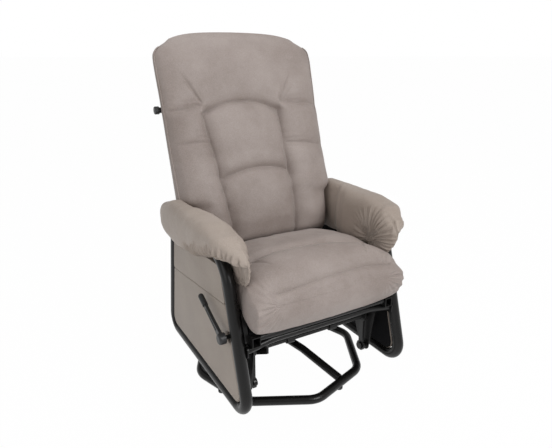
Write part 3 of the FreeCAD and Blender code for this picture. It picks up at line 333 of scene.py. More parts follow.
@dataclass(frozen=True)
class Cloth:
    """Woven cloth such as webbing or lining."""

    name: str
    tone: tuple[float, float, float] = (0.016, 0.016, 0.017)
    threads: float = 950.0

    def make(self) -> bpy.types.Material:
        """Build the material."""
        shader = Shader(self.name)
        place = shader.place()
        settings = {"wave_type": "BANDS", "bands_direction": "X"}
        warp = shader.node("ShaderNodeTexWave", settings, {"Vector": place, "Scale": self.threads})
        settings = {"wave_type": "BANDS", "bands_direction": "Y"}
        weft = shader.node("ShaderNodeTexWave", settings, {"Vector": place, "Scale": self.threads})
        weave = warp * 0.5 + weft * 0.5
        dust = shader.noise(30.0, 4.0, 0.6)
        stops = [(0.25, self.tone), (0.8, tuple(1.9 * c for c in self.tone))]
        colour = shader.ramp(weave * 0.5 + dust * 0.5, stops)
        relief = shader.bump(weave, 0.0003, 0.5)
        return shader.principled({
            "Base Color": colour, "Roughness": 0.9, "Normal": relief, "Specular IOR Level": 0.15,
        })


@dataclass(frozen=True)
class StudioWhite:
    """White floor that shows near white to the camera and keeps the shadow."""

    name: str
    glow: float = 0.985

    def make(self) -> bpy.types.Material:
        """Build the material."""
        shader = Shader(self.name)
        path = shader.tree.nodes.new("ShaderNodeLightPath")
        seen = Val(shader, path.outputs["Is Camera Ray"]) + Val(shader, path.outputs["Is Glossy Ray"])
        white = shader.node("ShaderNodeBsdfDiffuse", {}, {"Color": rgb(0.86, 0.86, 0.86)})
        bright = shader.node("ShaderNodeEmission", {}, {"Color": WHITE, "Strength": 1.0})
        mixed = shader.node("ShaderNodeMixShader", {}, {0: seen * self.glow, 1: white, 2: bright})
        shader.tree.links.new(mixed.socket, shader.output.inputs["Surface"])
        return shader.material


@dataclass
class Finishes:
    """Every finish of the chair, made once."""

    hide: bpy.types.Material = field(default_factory=lambda: Hide("taupe_hide").make())
    pad_hide: bpy.types.Material = field(default_factory=lambda: Hide(
        "taupe_pad_hide", (0.436, 0.370, 0.322), (0.305, 0.248, 0.208)).make())
    panel_hide: bpy.types.Material = field(default_factory=lambda: Hide(
        "taupe_panel_hide", (0.385, 0.330, 0.284), (0.290, 0.238, 0.198)).make())
    thread: bpy.types.Material = field(
        default_factory=lambda: Cloth("seam_thread", (0.30, 0.25, 0.21), 2400.0).make())
    enamel: bpy.types.Material = field(default_factory=lambda: Enamel("black_enamel").make())
    dull_enamel: bpy.types.Material = field(
        default_factory=lambda: Enamel("dull_black_enamel", 0.006, 0.42).make())
    steel: bpy.types.Material = field(default_factory=lambda: BrightSteel("zinc_steel").make())
    nylon: bpy.types.Material = field(
        default_factory=lambda: Moulded("black_nylon", (0.018, 0.018, 0.019), 0.55).make())
    moulded: bpy.types.Material = field(default_factory=lambda: Moulded("black_moulding").make())
    webbing: bpy.types.Material = field(default_factory=lambda: Cloth("black_webbing").make())
    lining: bpy.types.Material = field(
        default_factory=lambda: Cloth("black_lining", (0.004, 0.004, 0.0045), 1500.0).make())


# Mesh helpers

def finish_mesh(name: str, mesh: bmesh.types.BMesh, material: bpy.types.Material,
                flip: bool = True) -> bpy.types.Object:
    """Turn a bmesh into a smooth shaded object at the origin.

    Args:
        name: The object's name.
        mesh: The finished bmesh, which is freed.
        material: Its material.
        flip: Recalculate the normals to point outwards.

    Returns:
        The new object.
    """
    if flip:
        bmesh.ops.recalc_face_normals(mesh, faces=mesh.faces)
    data = bpy.data.meshes.new(name)
    mesh.to_mesh(data)
    mesh.free()
    data.polygons.foreach_set("use_smooth", [True] * len(data.polygons))
    data.materials.append(material)
    made = bpy.data.objects.new(name, data)
    bpy.context.scene.collection.objects.link(made)
    return made


def cut_cube(cuts: int) -> bmesh.types.BMesh:
    """Cube from -1 to 1 whose faces are cut into a fine grid."""
    mesh = bmesh.new()
    bmesh.ops.create_cube(mesh, size=2.0)
    bmesh.ops.subdivide_edges(mesh, edges=mesh.edges[:], cuts=cuts, use_grid_fill=True)
    return mesh


def ball(around: int, along: int) -> bmesh.types.BMesh:
    """Unit ball whose poles lie on the Y axis."""
    mesh = bmesh.new()
    bmesh.ops.create_uvsphere(mesh, u_segments=around, v_segments=along, radius=1.0)
    bmesh.ops.rotate(mesh, verts=mesh.verts, cent=(0, 0, 0), matrix=Matrix.Rotation(math.pi / 2.0, 3, "X"))
    return mesh


def shape(mesh: bmesh.types.BMesh, move: Callable[[Vector], Vector]) -> None:
    """Move every vertex by one function."""
    for vertex in mesh.verts:
        vertex.co = move(vertex.co.copy())


def swept(name: str, points: Sequence[Vector], radius: float,
          material: bpy.types.Material) -> bpy.types.Object:
    """Round cord or welt along a smooth line, as a mesh.

    Args:
        name: The object's name.
        points: The line's points.
        radius: Its half thickness.
        material: Its material.

    Returns:
        The new object.
    """
    curve = bpy.data.curves.new(name, "CURVE")
    curve.dimensions = "3D"
    curve.bevel_depth = radius
    curve.bevel_resolution = 2
    curve.use_fill_caps = True
    spline = curve.splines.new("POLY")
    spline.points.add(len(points) - 1)
    for target, point in zip(spline.points, points):
        target.co = (*point, 1.0)
    holder = bpy.data.objects.new(name + "_line", curve)
    bpy.context.scene.collection.objects.link(holder)
    bpy.context.view_layer.update()
    data = bpy.data.meshes.new_from_object(holder.evaluated_get(bpy.context.evaluated_depsgraph_get()))
    bpy.data.objects.remove(holder)
    mesh = bmesh.new()
    mesh.from_mesh(data)
    bpy.data.meshes.remove(data)
    bmesh.ops.remove_doubles(mesh, verts=mesh.verts, dist=1e-6)
    return finish_mesh(name, mesh, material)


def settle(piece: bpy.types.Object, cap: float, hold: Callable[[Vector], float]) -> None:
    """Swell a padded piece as cloth and keep what it comes to.

    Args:
        piece: The piece, whose mesh is changed.
        cap: Furthest that a point may move.
        hold: Pin weight at a point, from 0 to 1.
    """
    before = [v.co.copy() for v in piece.data.vertices]
    group = piece.vertex_groups.new(name=HOLD_GROUP)
    for vertex in piece.data.vertices:
        group.add([vertex.index], hold(vertex.co), "REPLACE")
    cloth = piece.modifiers.new("Settle", "CLOTH")
    settings = cloth.settings
    settings.quality = 5
    settings.mass = 0.35
    settings.tension_stiffness = 18.0
    settings.compression_stiffness = 18.0
    settings.shear_stiffness = 8.0
    settings.bending_stiffness = 0.6
    settings.use_pressure = True
    settings.uniform_pressure_force = SETTLE_PRESSURE
    settings.vertex_group_mass = HOLD_GROUP
    settings.effector_weights.gravity = 0.0
    cloth.point_cache.frame_start = 1
    cloth.point_cache.frame_end = SETTLE_FRAMES
    scene = bpy.context.scene
    for frame in range(1, SETTLE_FRAMES + 1):
        scene.frame_set(frame)
    graph = bpy.context.evaluated_depsgraph_get()
    moved = piece.evaluated_get(graph).to_mesh()
    for vertex, start, end in zip(piece.data.vertices, before, moved.vertices):
        step = end.co - start
        if step.length > cap:
            step = step.normalized() * cap
        vertex.co = start + step
    piece.evaluated_get(graph).to_mesh_clear()
    piece.modifiers.remove(cloth)
    piece.vertex_groups.clear()
    scene.frame_set(1)


def refine(piece: bpy.types.Object) -> None:
    """Subdivide a piece smoothly and keep the result as its mesh."""
    divide = piece.modifiers.new("Fine", "SUBSURF")
    divide.levels = REFINE_LEVELS
    divide.render_levels = REFINE_LEVELS
    bpy.context.view_layer.update()
    graph = bpy.context.evaluated_depsgraph_get()
    data = bpy.data.meshes.new_from_object(piece.evaluated_get(graph))
    piece.modifiers.remove(divide)
    old = piece.data
    piece.data = data
    bpy.data.meshes.remove(old)


# Upholstery. The tables pair a place with a value, and a crease is its two ends and its depth.

BACK_HALF_WIDTHS = (
    (0.04, 0.243), (0.10, 0.251), (0.188, 0.254), (0.208, 0.282),
    (0.5, 0.283), (0.66, 0.286), (0.75, 0.280),
)
BACK_FULLNESS = (
    (0.04, 0.132), (0.075, 0.150), (0.13, 0.160), (0.20, 0.160), (0.30, 0.143), (0.36, 0.131),
    (0.46, 0.121), (0.54, 0.113), (0.64, 0.106), (0.69, 0.098), (0.725, 0.086), (0.75, 0.070),
)
RIGHT_PANEL_EDGE = ((0.06, -0.131), (0.28, -0.146), (0.50, -0.163))
LEFT_PANEL_EDGE = ((0.06, 0.106), (0.28, 0.112), (0.50, 0.116))
PANEL_CHANNEL = Seam(0.015, 0.017)
UPPER_CHANNEL = Seam(0.016, 0.017)
LOWER_CHANNEL = Seam(0.013, 0.015)
PLEAT_ONE_CHANNEL = Seam(0.010, 0.014)
PLEAT_TWO_CHANNEL = Seam(0.007, 0.012)
PANEL_STITCH = Seam(0.0125, 0.0050)
UPPER_STITCH = Seam(0.0135, 0.0052)
LOWER_STITCH = Seam(0.0115, 0.0046)
PLEAT_ONE_STITCH = Seam(0.0085, 0.0042)
PLEAT_TWO_STITCH = Seam(0.0065, 0.0036)
BACK_DENTS = ((0.0020, 13.0, 2.3), (0.0008, 42.0, 5.9))
UPPER_GATHERS = ((0.010, 0.0026), (-0.013, 0.0028), (0.024, 0.0015))
LOWER_GATHERS = ((-0.011, 0.0030), (0.013, 0.0026), (0.030, 0.0016), (-0.052, 0.0016), (-0.117, 0.0022))
PILLOW_CREASES = (
    ((-0.166, 0.520), (-0.232, 0.636), 0.0085), ((-0.172, 0.526), (-0.205, 0.600), 0.0040),
    ((-0.160, 0.528), (-0.186, 0.586), 0.0030), ((0.128, 0.518), (0.184, 0.622), 0.0075),
    ((0.124, 0.524), (0.146, 0.585), 0.0032), ((0.136, 0.514), (0.206, 0.590), 0.0030),
)
SEAT_CREST = (
    (-0.33, 0.478), (-0.26, 0.491), (-0.16, 0.483), (-0.06, 0.470),
    (0.0, 0.457), (0.028, 0.440), (0.06, 0.416), (0.134, 0.394),
)
SEAT_REAR_CHANNEL = Seam(0.006, 0.016)
SEAT_FRONT_CHANNEL = Seam(0.007, 0.016)
SEAT_REAR_STITCH = Seam(0.0095, 0.0044)
SEAT_FRONT_STITCH = Seam(0.0110, 0.0048)
SEAT_DENTS = ((0.0026, 12.0, 6.3), (0.0011, 40.0, 8.9))
SEAT_CREASES = (
    ((-0.188, -0.158), (-0.158, -0.232), 0.0095), ((-0.188, -0.158), (-0.222, -0.205), 0.0060),
    ((0.176, -0.204), (0.140, -0.294), 0.0085), ((0.176, -0.204), (0.226, -0.238), 0.0055),
)
PAD_DENTS = ((0.0018, 13.0, 1.7), (0.0007, 45.0, 4.1))
PAD_INNER = (
    (-0.288, 0.240), (-0.27, 0.231), (-0.22, 0.224), (-0.05, 0.227),
    (0.0, 0.238), (0.04, 0.2555), (0.22, 0.258), (0.268, 0.270),
)
PAD_OUTER = (
    (-0.288, 0.272), (-0.26, 0.302), (-0.20, 0.327), (-0.10, 0.334),
    (0.10, 0.332), (0.22, 0.326), (0.268, 0.305),
)
PAD_TOP = (
    (-0.288, 0.525), (-0.268, 0.552), (-0.22, 0.581), (-0.13, 0.594),
    (-0.02, 0.594), (0.12, 0.591), (0.21, 0.570), (0.268, 0.556),
)
PAD_OUTER_HEM = (
    (-0.288, 0.500), (-0.25, 0.516), (-0.20, 0.519), (-0.13, 0.500),
    (-0.05, 0.474), (0.08, 0.454), (0.20, 0.460), (0.268, 0.472),
)
PAD_INNER_HEM = (
    (-0.288, 0.470), (-0.274, 0.440), (-0.255, 0.424), (-0.20, 0.418), (-0.05, 0.416),
    (0.08, 0.402), (0.17, 0.402), (0.22, 0.435), (0.268, 0.472),
)


@dataclass
class BackRest:
    """Back cushion: two side bolsters, a centre panel with arched seams and a head pillow."""

    finishes: Finishes
    pivot: Vector = field(default_factory=lambda: Vector((0.0, 0.165 - ORIGIN_BACK, 0.350)))
    tilt: float = math.radians(16.0)
    bottom: float = 0.041
    top: float = 0.748
    rear: float = 0.059
    cuts: int = 52
    swell_cap: float = 0.014
    edge_share: float = 0.40
    sewn_from: float = 0.018
    sewn_full: float = 0.045
    pinned_near: float = 0.007
    corner_cut: float = 0.20
    cover_cuts: int = 60
    cover_bottom: float = 0.040
    cover_top: float = 0.735
    cover_inset: float = 0.008
    welt_steps: int = 120
    welt_radius: float = 0.0021

    def axes(self) -> tuple[Vector, Vector]:
        """Upward and forward directions of the leaned back."""
        up = Vector((0.0, math.sin(self.tilt), math.cos(self.tilt)))
        forward = Vector((0.0, -math.cos(self.tilt), math.sin(self.tilt)))
        return up, forward

    def at(self, x: float, depth: float, height: float) -> Vector:
        """Point of the leaned back from its own depth and height."""
        up, forward = self.axes()
        return self.pivot + Vector((x, 0.0, 0.0)) + up * height + forward * depth

    def half_width(self, height: float) -> float:
        """Half width of the back at a height."""
        return table(BACK_HALF_WIDTHS, height)

    def panel_edge(self, height: float, side: Side) -> float:
        """Seam between the centre panel and a bolster."""
        return table(RIGHT_PANEL_EDGE if side is Side.RIGHT else LEFT_PANEL_EDGE, height)

    def upper_seam(self, x: float) -> float:
        """Height of the arched seam under the head pillow."""
        middle = -0.022
        return 0.521 - 1.25 * (x - middle) ** 2 - 0.012 * smooth(0.05, 0.16, abs(x - middle))

    def lower_seam(self, x: float) -> float:
        """Height of the arched seam over the lumbar panel."""
        return 0.293 - 1.30 * (x + 0.004) ** 2

    def fullness(self, x: float, height: float) -> float:
        """Forward depth of the upholstery at a place."""
        right = self.panel_edge(height, Side.RIGHT)
        left = self.panel_edge(height, Side.LEFT)
        below_pillow = 1.0 - smooth(-0.004, 0.010, height - self.upper_seam(min(max(x, right), left)))
        to_right = abs(x - right)
        to_left = abs(x - left)
        depth = table(BACK_FULLNESS, height)
        seams = max(PANEL_CHANNEL.channel(to_right), PANEL_CHANNEL.channel(to_left))
        fade = smooth(0.045, 0.09, height)
        depth -= seams * below_pillow * (0.35 + 0.65 * fade)
        if right < x < left:
            across = (x - right) / (left - right)
            crown = 4.0 * across * (1.0 - across)
            upper = height - self.upper_seam(x)
            lower = height - self.lower_seam(x)
            depth -= 0.007 * below_pillow
            depth += 0.012 * crown * below_pillow
            depth -= UPPER_CHANNEL.channel(upper) * (0.6 + 0.4 * crown)
            depth -= LOWER_CHANNEL.channel(lower) * (0.6 + 0.4 * crown)
            if lower > 0 and upper < 0:
                span = (height - self.lower_seam(x)) / (self.upper_seam(x) - self.lower_seam(x))
                depth += 0.008 * 4.0 * span * (1.0 - span)
        else:
            edge = right if x < 0 else left
            outer = self.half_width(height)
            across = min((abs(x) - abs(edge)) / max(outer - abs(edge), 0.01), 1.0)
            depth += 0.010 * math.sin(math.pi * min(max(across, 0.0), 1.0)) * below_pillow
            depth -= PLEAT_ONE_CHANNEL.channel(height - self.pleat_one(x)) * smooth(0.0, 0.25, across)
            depth -= PLEAT_TWO_CHANNEL.channel(height - self.pleat_two(x))
        return depth

    def pleat_one(self, x: float) -> float:
        """Height of the seam that runs on outwards from the pillow's corners."""
        return 0.513 - 0.10 * (abs(x) - 0.14) + 0.002 * math.sin(60.0 * x)

    def pleat_two(self, x: float) -> float:
        """Height of the pleat across a bolster."""
        return 0.392 if x < 0 else 0.372 - 0.12 * (x - 0.10)

    def stitching(self, x: float, height: float) -> float:
        """Depth that the thread pulls in at a place on the front."""
        right = self.panel_edge(height, Side.RIGHT)
        left = self.panel_edge(height, Side.LEFT)
        place = Vector((x, height))
        total = 0.0
        bound = self.upper_seam(min(max(x, right), left)) + 0.002
        if height < bound:
            total = max(PANEL_STITCH.stitch(x - right), PANEL_STITCH.stitch(x - left))
        if right - 0.004 < x < left + 0.004:
            total = max(total, UPPER_STITCH.stitch(height - self.upper_seam(x)))
            total = max(total, LOWER_STITCH.stitch(height - self.lower_seam(x)))
        else:
            edge = right if x < 0 else left
            outer = self.half_width(height)
            across = min((abs(x) - abs(edge)) / max(outer - abs(edge), 0.01), 1.0)
            upper = PLEAT_ONE_STITCH.stitch(height - self.pleat_one(x)) * smooth(-0.05, 0.12, across)
            lower = PLEAT_TWO_STITCH.stitch(height - self.pleat_two(x)) * (1.0 - smooth(0.72, 1.0, across))
            total = max(total, upper, lower)
            for shift, deep in LOWER_GATHERS:
                wander = 0.004 * math.sin(38.0 * x + 90.0 * shift)
                line = self.pleat_two(x) + shift + wander + 0.10 * abs(shift) * across
                total += deep * cusp(height - line, 0.0030) * (1.0 - smooth(0.12, 0.62, across))
            for shift, deep in UPPER_GATHERS:
                line = self.pleat_one(x) + shift * (0.4 + across)
                ends = smooth(0.0, 0.1, across), 1.0 - smooth(0.45, 0.95, across)
                total += deep * cusp(height - line, 0.0028) * ends[0] * ends[1]
        for start, end, deep in PILLOW_CREASES:
            along, gap = near_line(place, start, end)
            total += deep * cusp(gap, 0.0042) * (1.0 - smooth(0.30, 1.0, along))
        return total

    def sew(self, cushion: bpy.types.Object) -> None:
        """Pull the seams and pleats into the finished cushion."""
        up, forward = self.axes()
        for vertex in cushion.data.vertices:
            local = vertex.co - self.pivot
            depth = local.dot(forward)
            if depth < self.rear + self.sewn_from:
                continue
            height = local.dot(up)
            facing = smooth(self.rear + self.sewn_from, self.rear + self.sewn_full, depth)
            pull = self.stitching(local.x, height) * facing
            vertex.co += forward * (dents(vertex.co, BACK_DENTS) * facing - pull)

    def move(self, point: Vector) -> Vector:
        """Place of one vertex of the cut cube on the cushion."""
        a, b, c = point
        height = self.bottom + (self.top - self.bottom) * (c + 1.0) / 2.0
        width = self.half_width(height)
        corner = smooth(0.0, 1.0, (c - 0.80) / 0.20) if c > 0.80 else 0.0
        reach = width * (1.0 - self.corner_cut * corner ** 2.2)
        x = a * reach
        arch = 0.0 if c < 0.6 else (0.010 * (1.0 - a * a) - 0.014 * abs(a) ** 6) * (c - 0.6) / 0.4
        height += arch
        side_fall = (1.0 - abs(a) ** 7.0) ** 0.55
        top_fall = (1.0 - max(c, 0.0) ** 14.0) ** 0.5
        low_fall = (1.0 - max(-c, 0.0) ** 22.0) ** 0.5
        front = self.fullness(x, height)
        thick = front - self.rear
        thick *= self.edge_share + (1.0 - self.edge_share) * side_fall * top_fall * low_fall
        depth = self.rear + thick * (1.0 - b) / 2.0
        swell = 1.0 - b * b
        if abs(a) > 0.999:
            x += math.copysign(0.005 * swell, a)
        return self.at(x, depth, height)

    def build(self) -> None:
        """Make the cushion, and the rear cover with its welts."""
        mesh = cut_cube(self.cuts)
        shape(mesh, self.move)
        cushion = finish_mesh("back_upholstery", mesh, self.finishes.hide)
        up, forward = self.axes()

        def hold(place: Vector) -> float:
            """Pin the seams, the rim and the rear."""
            local = place - self.pivot
            height = local.dot(up)
            depth = local.dot(forward)
            if depth < self.rear + 0.02:
                return 1.0
            right = self.panel_edge(height, Side.RIGHT)
            left = self.panel_edge(height, Side.LEFT)
            upper = height - self.upper_seam(place.x)
            lower = height - self.lower_seam(place.x)
            near = min(abs(place.x - right), abs(place.x - left))
            if upper < 0.0 and near < self.pinned_near:
                return 1.0
            arched = right < place.x < left and min(abs(upper), abs(lower)) < self.pinned_near
            return 1.0 if arched else 0.0

        settle(cushion, self.swell_cap, hold)
        refine(cushion)
        self.sew(cushion)
        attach(cushion, Body.BACK.value)
        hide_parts("back_cushion")
        LOG.info("back cushion: %d faces", len(cushion.data.polygons))
        self.build_cover()

    def build_cover(self) -> None:
        """Make the upholstered shell behind the cushion with its welt."""
        mesh = cut_cube(self.cover_cuts)

        def move(point: Vector) -> Vector:
            """Place of one vertex on the shell's cover."""
            a, b, c = point
            height = self.cover_bottom + (self.cover_top - self.cover_bottom) * (c + 1.0) / 2.0
            width = self.half_width(height) - self.cover_inset
            corner = smooth(0.0, 1.0, (c - 0.82) / 0.18) if c > 0.82 else 0.0
            x = a * width * (1.0 - self.corner_cut * corner ** 2.2)
            edge = max(abs(a) ** 12.0, abs(c) ** 20.0)
            rear = 0.019 + 0.012 * edge - 0.005 * (1.0 - a * a) * (1.0 - c * c)
            front = self.rear + 0.004
            return self.at(x, rear + (front - rear) * (1.0 - b) / 2.0, height)

        shape(mesh, move)
        cover = finish_mesh("back_cover", mesh, self.finishes.panel_hide)
        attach(cover, Body.BACK.value)
        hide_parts("back_shell")

        for side in Side:
            points = []
            proud = Vector((side.value * 0.0006, 0.0, 0.0))
            for i in range(self.welt_steps + 1):
                c = -0.97 + 1.88 * i / self.welt_steps
                points.append(self.move(Vector((side.value * 0.9995, -0.86, c))) + proud)
            welt = swept("back_welt_" + side.name.lower(), points, self.welt_radius, self.finishes.hide)
            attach(welt, Body.BACK.value)
        LOG.info("back cover and welts made")


@dataclass
class Seat:
    """Seat cushion with a front roll, two cross seams and creased corners."""

    finishes: Finishes
    half_width: float = 0.2475
    front: float = -0.332 - ORIGIN_BACK
    rear: float = 0.134 - ORIGIN_BACK
    bottom: float = 0.3040
    cuts: int = 46
    swell_cap: float = 0.012

    def crest(self, x: float, y: float) -> float:
        """Height of the cushion's top, seams included."""
        y += ORIGIN_BACK
        height = table(SEAT_CREST, y)
        height += 0.006 * (1.0 - (x / self.half_width) ** 2)
        seam_a, seam_b = self.seams(x)
        height -= SEAT_REAR_CHANNEL.channel(y - seam_a) + SEAT_FRONT_CHANNEL.channel(y - seam_b)
        if seam_b < y < seam_a:
            span = (y - seam_b) / max(seam_a - seam_b, 0.01)
            height += 0.005 * 4.0 * span * (1.0 - span)
        return height

    def seams(self, x: float) -> tuple[float, float]:
        """Places of the rear and the front cross seam at one x."""
        rear = -0.158 - 0.115 * (x + 0.16)
        if x > 0.07:
            rear -= 0.06 * (x - 0.07)
        return rear, -0.298 + 0.004 * math.sin(9.0 * x)

    def sew(self, cushion: bpy.types.Object) -> None:
        """Pull the cross seams and the corner creases into the cushion."""
        for vertex in cushion.data.vertices:
            x, z = vertex.co.x, vertex.co.z
            y = vertex.co.y + ORIGIN_BACK
            seam_a, seam_b = self.seams(x)
            place = Vector((x, y))
            pull = 0.0
            if z > 0.40:
                left_end = smooth(-0.205, -0.180, x)
                right_end = 1.0 - smooth(0.175, 0.200, x)
                first = SEAT_REAR_STITCH.stitch(y - seam_a)
                first += 0.0050 * math.exp(-((y - seam_a) / 0.020) ** 2)
                second = SEAT_FRONT_STITCH.stitch(y - seam_b)
                second += 0.0060 * math.exp(-((y - seam_b) / 0.022) ** 2)
                second_ends = smooth(-0.215, -0.175, x) * (1.0 - smooth(0.205, 0.235, x))
                pull = max(first * left_end * right_end, second * second_ends)
                for start, end, deep in SEAT_CREASES:
                    along, gap = near_line(place, start, end)
                    pull = max(pull, deep * cusp(gap, 0.0040) * (1.0 - 0.6 * along))
            vertex.co.z -= pull
            soft = dents(vertex.co, SEAT_DENTS)
            front = 1.0 - smooth(-0.30, -0.22, y)
            side = smooth(0.150, 0.246, abs(x))
            angle = math.atan2(z - 0.400, abs(x) - 0.170)
            creases = math.sin(24.0 * angle + 3.0 * x) * side * front * smooth(0.30, 0.36, z)
            vertex.co.y -= 0.0030 * creases * (0.6 + 0.4 * grain(vertex.co, 20.0, 1.1)) + soft * front
            vertex.co.z += soft * (1.0 - front) if z > 0.33 else 0.0

    def move(self, point: Vector) -> Vector:
        """Place of one vertex of the cut cube on the cushion."""
        a, b, c = point
        front_roll = 0.90 if c > 0 else 0.42
        roll = front_roll if b < 0 else 0.10
        squash = math.sqrt(max(1.0 - roll * b * b / 2.0, 0.0))
        bend = math.sqrt(max(1.0 - roll * c * c / 2.0, 0.0))
        c2 = c * squash
        b2 = b * bend
        side = abs(a) ** 4.5
        c3 = c2 * (1.0 - (0.40 if c > 0 else 0.16) * side)
        x = a * self.half_width * (1.0 - 0.045 * abs(c2) ** 4.0)
        y = self.front + (self.rear - self.front) * (b2 + 1.0) / 2.0
        ahead = 1.0 - smooth(-0.285, -0.235, y)
        x *= 1.0 + 0.040 * ahead
        if b < 0:
            x *= 1.0 - 0.030 * (-b) ** 7.0
        top = self.crest(x, y)
        low = self.bottom - 0.006 * (1.0 - smooth(-0.30, -0.26, y))
        z = low + (top - low) * (c3 + 1.0) / 2.0
        return Vector((x, y, z))

    def build(self) -> None:
        """Make the cushion."""
        mesh = cut_cube(self.cuts)
        shape(mesh, self.move)
        cushion = finish_mesh("seat_upholstery", mesh, self.finishes.hide)

        def hold(place: Vector) -> float:
            """Pin the underside and the rear."""
            return 1.0 if place.z < self.bottom + 0.012 or place.y > self.rear - 0.03 else 0.0

        settle(cushion, self.swell_cap, hold)
        refine(cushion)
        self.sew(cushion)
        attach(cushion, Body.CHAIR.value)
        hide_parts("seat_cushion")
        LOG.info("seat cushion: %d faces", len(cushion.data.polygons))


@dataclass
class ArmPad:
    """Stuffed sleeve over a loop's arm, gathered where the tube comes out."""

    finishes: Finishes
    side: Side
    front: float = -0.288 - ORIGIN_BACK
    rear: float = 0.268 - ORIGIN_BACK
    eye_y: float = -0.196
    eye_z: float = 0.474
    hem_start: float = -0.240 - ORIGIN_BACK
    hem_end: float = 0.060 - ORIGIN_BACK
    hem_rise: float = 0.0095
    hem_steps: int = 150
    hem_turns: int = 60
    hem_turn: float = 1.4
    thread_radius: float = 0.0011
    gather_height: float = 0.0056
    gather_pitch: float = 0.0135
    ray_height: float = 0.0054
    ray_reach: float = 0.115
    square_across: float = 0.66
    square_up: float = 0.72
    end_power: float = 9.0
    around: int = 230
    along: int = 350

    def section(self, y: float) -> tuple[float, float, float, float, float]:
        """Inner face, outer face, top, outer hem and inner hem at one place along the arm."""
        y += ORIGIN_BACK
        inner, outer, top = table(PAD_INNER, y), table(PAD_OUTER, y), table(PAD_TOP, y)
        return inner, outer, top, table(PAD_OUTER_HEM, y), table(PAD_INNER_HEM, y)

    def move(self, point: Vector) -> Vector:
        """Place of one vertex of the unit ball on the pad."""
        t = math.asin(min(max(point.y, -1.0), 1.0)) / (math.pi / 2.0)
        y = self.front + (self.rear - self.front) * (t + 1.0) / 2.0
        inner, outer, top, outer_hem, inner_hem = self.section(y)
        ring = math.hypot(point.x, point.z)
        angle = math.atan2(point.z, point.x) if ring > 1e-6 else 0.0
        cos, sin = math.cos(angle), math.sin(angle)
        across = math.copysign(abs(cos) ** self.square_across, cos)
        upward = math.copysign(abs(sin) ** self.square_up, sin)
        pole = math.sqrt(max(1.0 - abs(t) ** self.end_power, 0.0))
        middle = (inner + outer) / 2.0
        x = middle + (outer - inner) / 2.0 * across * pole
        share = (across + 1.0) / 2.0
        hem = inner_hem + (outer_hem - inner_hem) * smooth(0.20, 0.40, share)
        centre = (top + hem) / 2.0
        z = centre + (top - hem) / 2.0 * upward * pole
        place = Vector((x, y, z))
        outward = Vector((across, 0.0, upward)).normalized()
        place += outward * self.folds(place, y, across, place.z - hem)
        return Vector((place.x * self.side.value, place.y, place.z))

    def folds(self, place: Vector, y: float, across: float, rise: float) -> float:
        """Height of the gathers over the hem, round the tube's opening, and of soft dents elsewhere."""
        y += ORIGIN_BACK
        ahead = place.y + ORIGIN_BACK - self.eye_y
        above = place.z - self.eye_z
        turn = math.atan2(above, -ahead)
        reach = math.hypot(ahead, above)
        radial = math.sin(29.0 * turn + 2.0 * math.sin(5.0 * turn)) + 0.35 * math.sin(61.0 * turn + 1.0)
        close = 1.0 - smooth(0.025, self.ray_reach, reach)
        around = self.ray_height * radial * close * (1.0 - smooth(-0.13, -0.06, y))
        length = 0.040 + 0.026 * grain(place, 30.0, 9.0)
        pleats = math.sin(math.tau * y / self.gather_pitch + 1.6 * math.sin(46.0 * y))
        pleats += 0.4 * math.sin(math.tau * y / 0.0075)
        low = 1.0 - smooth(0.006, 0.006 + length, rise)
        over = self.gather_height * pleats * low * (1.0 - smooth(-0.06, 0.02, y))
        over -= 0.0020 * cusp(rise - self.hem_rise, 0.0022) * (1.0 - smooth(0.06, 0.12, y))
        side = smooth(-0.1, 0.25, across)
        return around * (1.0 - side) + over * side + dents(place, PAD_DENTS)

    def build(self) -> None:
        """Make the pad and the row of thread over its hem."""
        mesh = ball(self.around, self.along)
        shape(mesh, self.move)
        name = "arm_pad_cover_" + self.side.name.lower()
        pad = finish_mesh(name, mesh, self.finishes.pad_hide)
        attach(pad, Body.CHAIR.value)
        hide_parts("arm_pad_" + self.side.name.lower())
        self.build_hem()
        LOG.info("%s: %d faces", name, len(pad.data.polygons))

    def build_hem(self) -> None:
        """Lay the row of thread that closes the gathers over the hem."""
        points = []
        for i in range(self.hem_steps + 1):
            y = self.hem_start + (self.hem_end - self.hem_start) * i / self.hem_steps
            t = 2.0 * (y - self.front) / (self.rear - self.front) - 1.0
            latitude = t * math.pi / 2.0
            hem = self.section(y)[3]
            best = Vector((0.0, 0.0, 9.0))
            for step in range(self.hem_turns):
                angle = -math.radians(self.hem_turn * step)
                place = self.move(Vector((math.cos(angle), math.sin(latitude), math.sin(angle))))
                if abs(place.z - hem - self.hem_rise) < abs(best.z - hem - self.hem_rise):
                    best = place
            points.append(best)
        row = swept("arm_hem_" + self.side.name.lower(), points, self.thread_radius, self.finishes.thread)
        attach(row, Body.CHAIR.value)


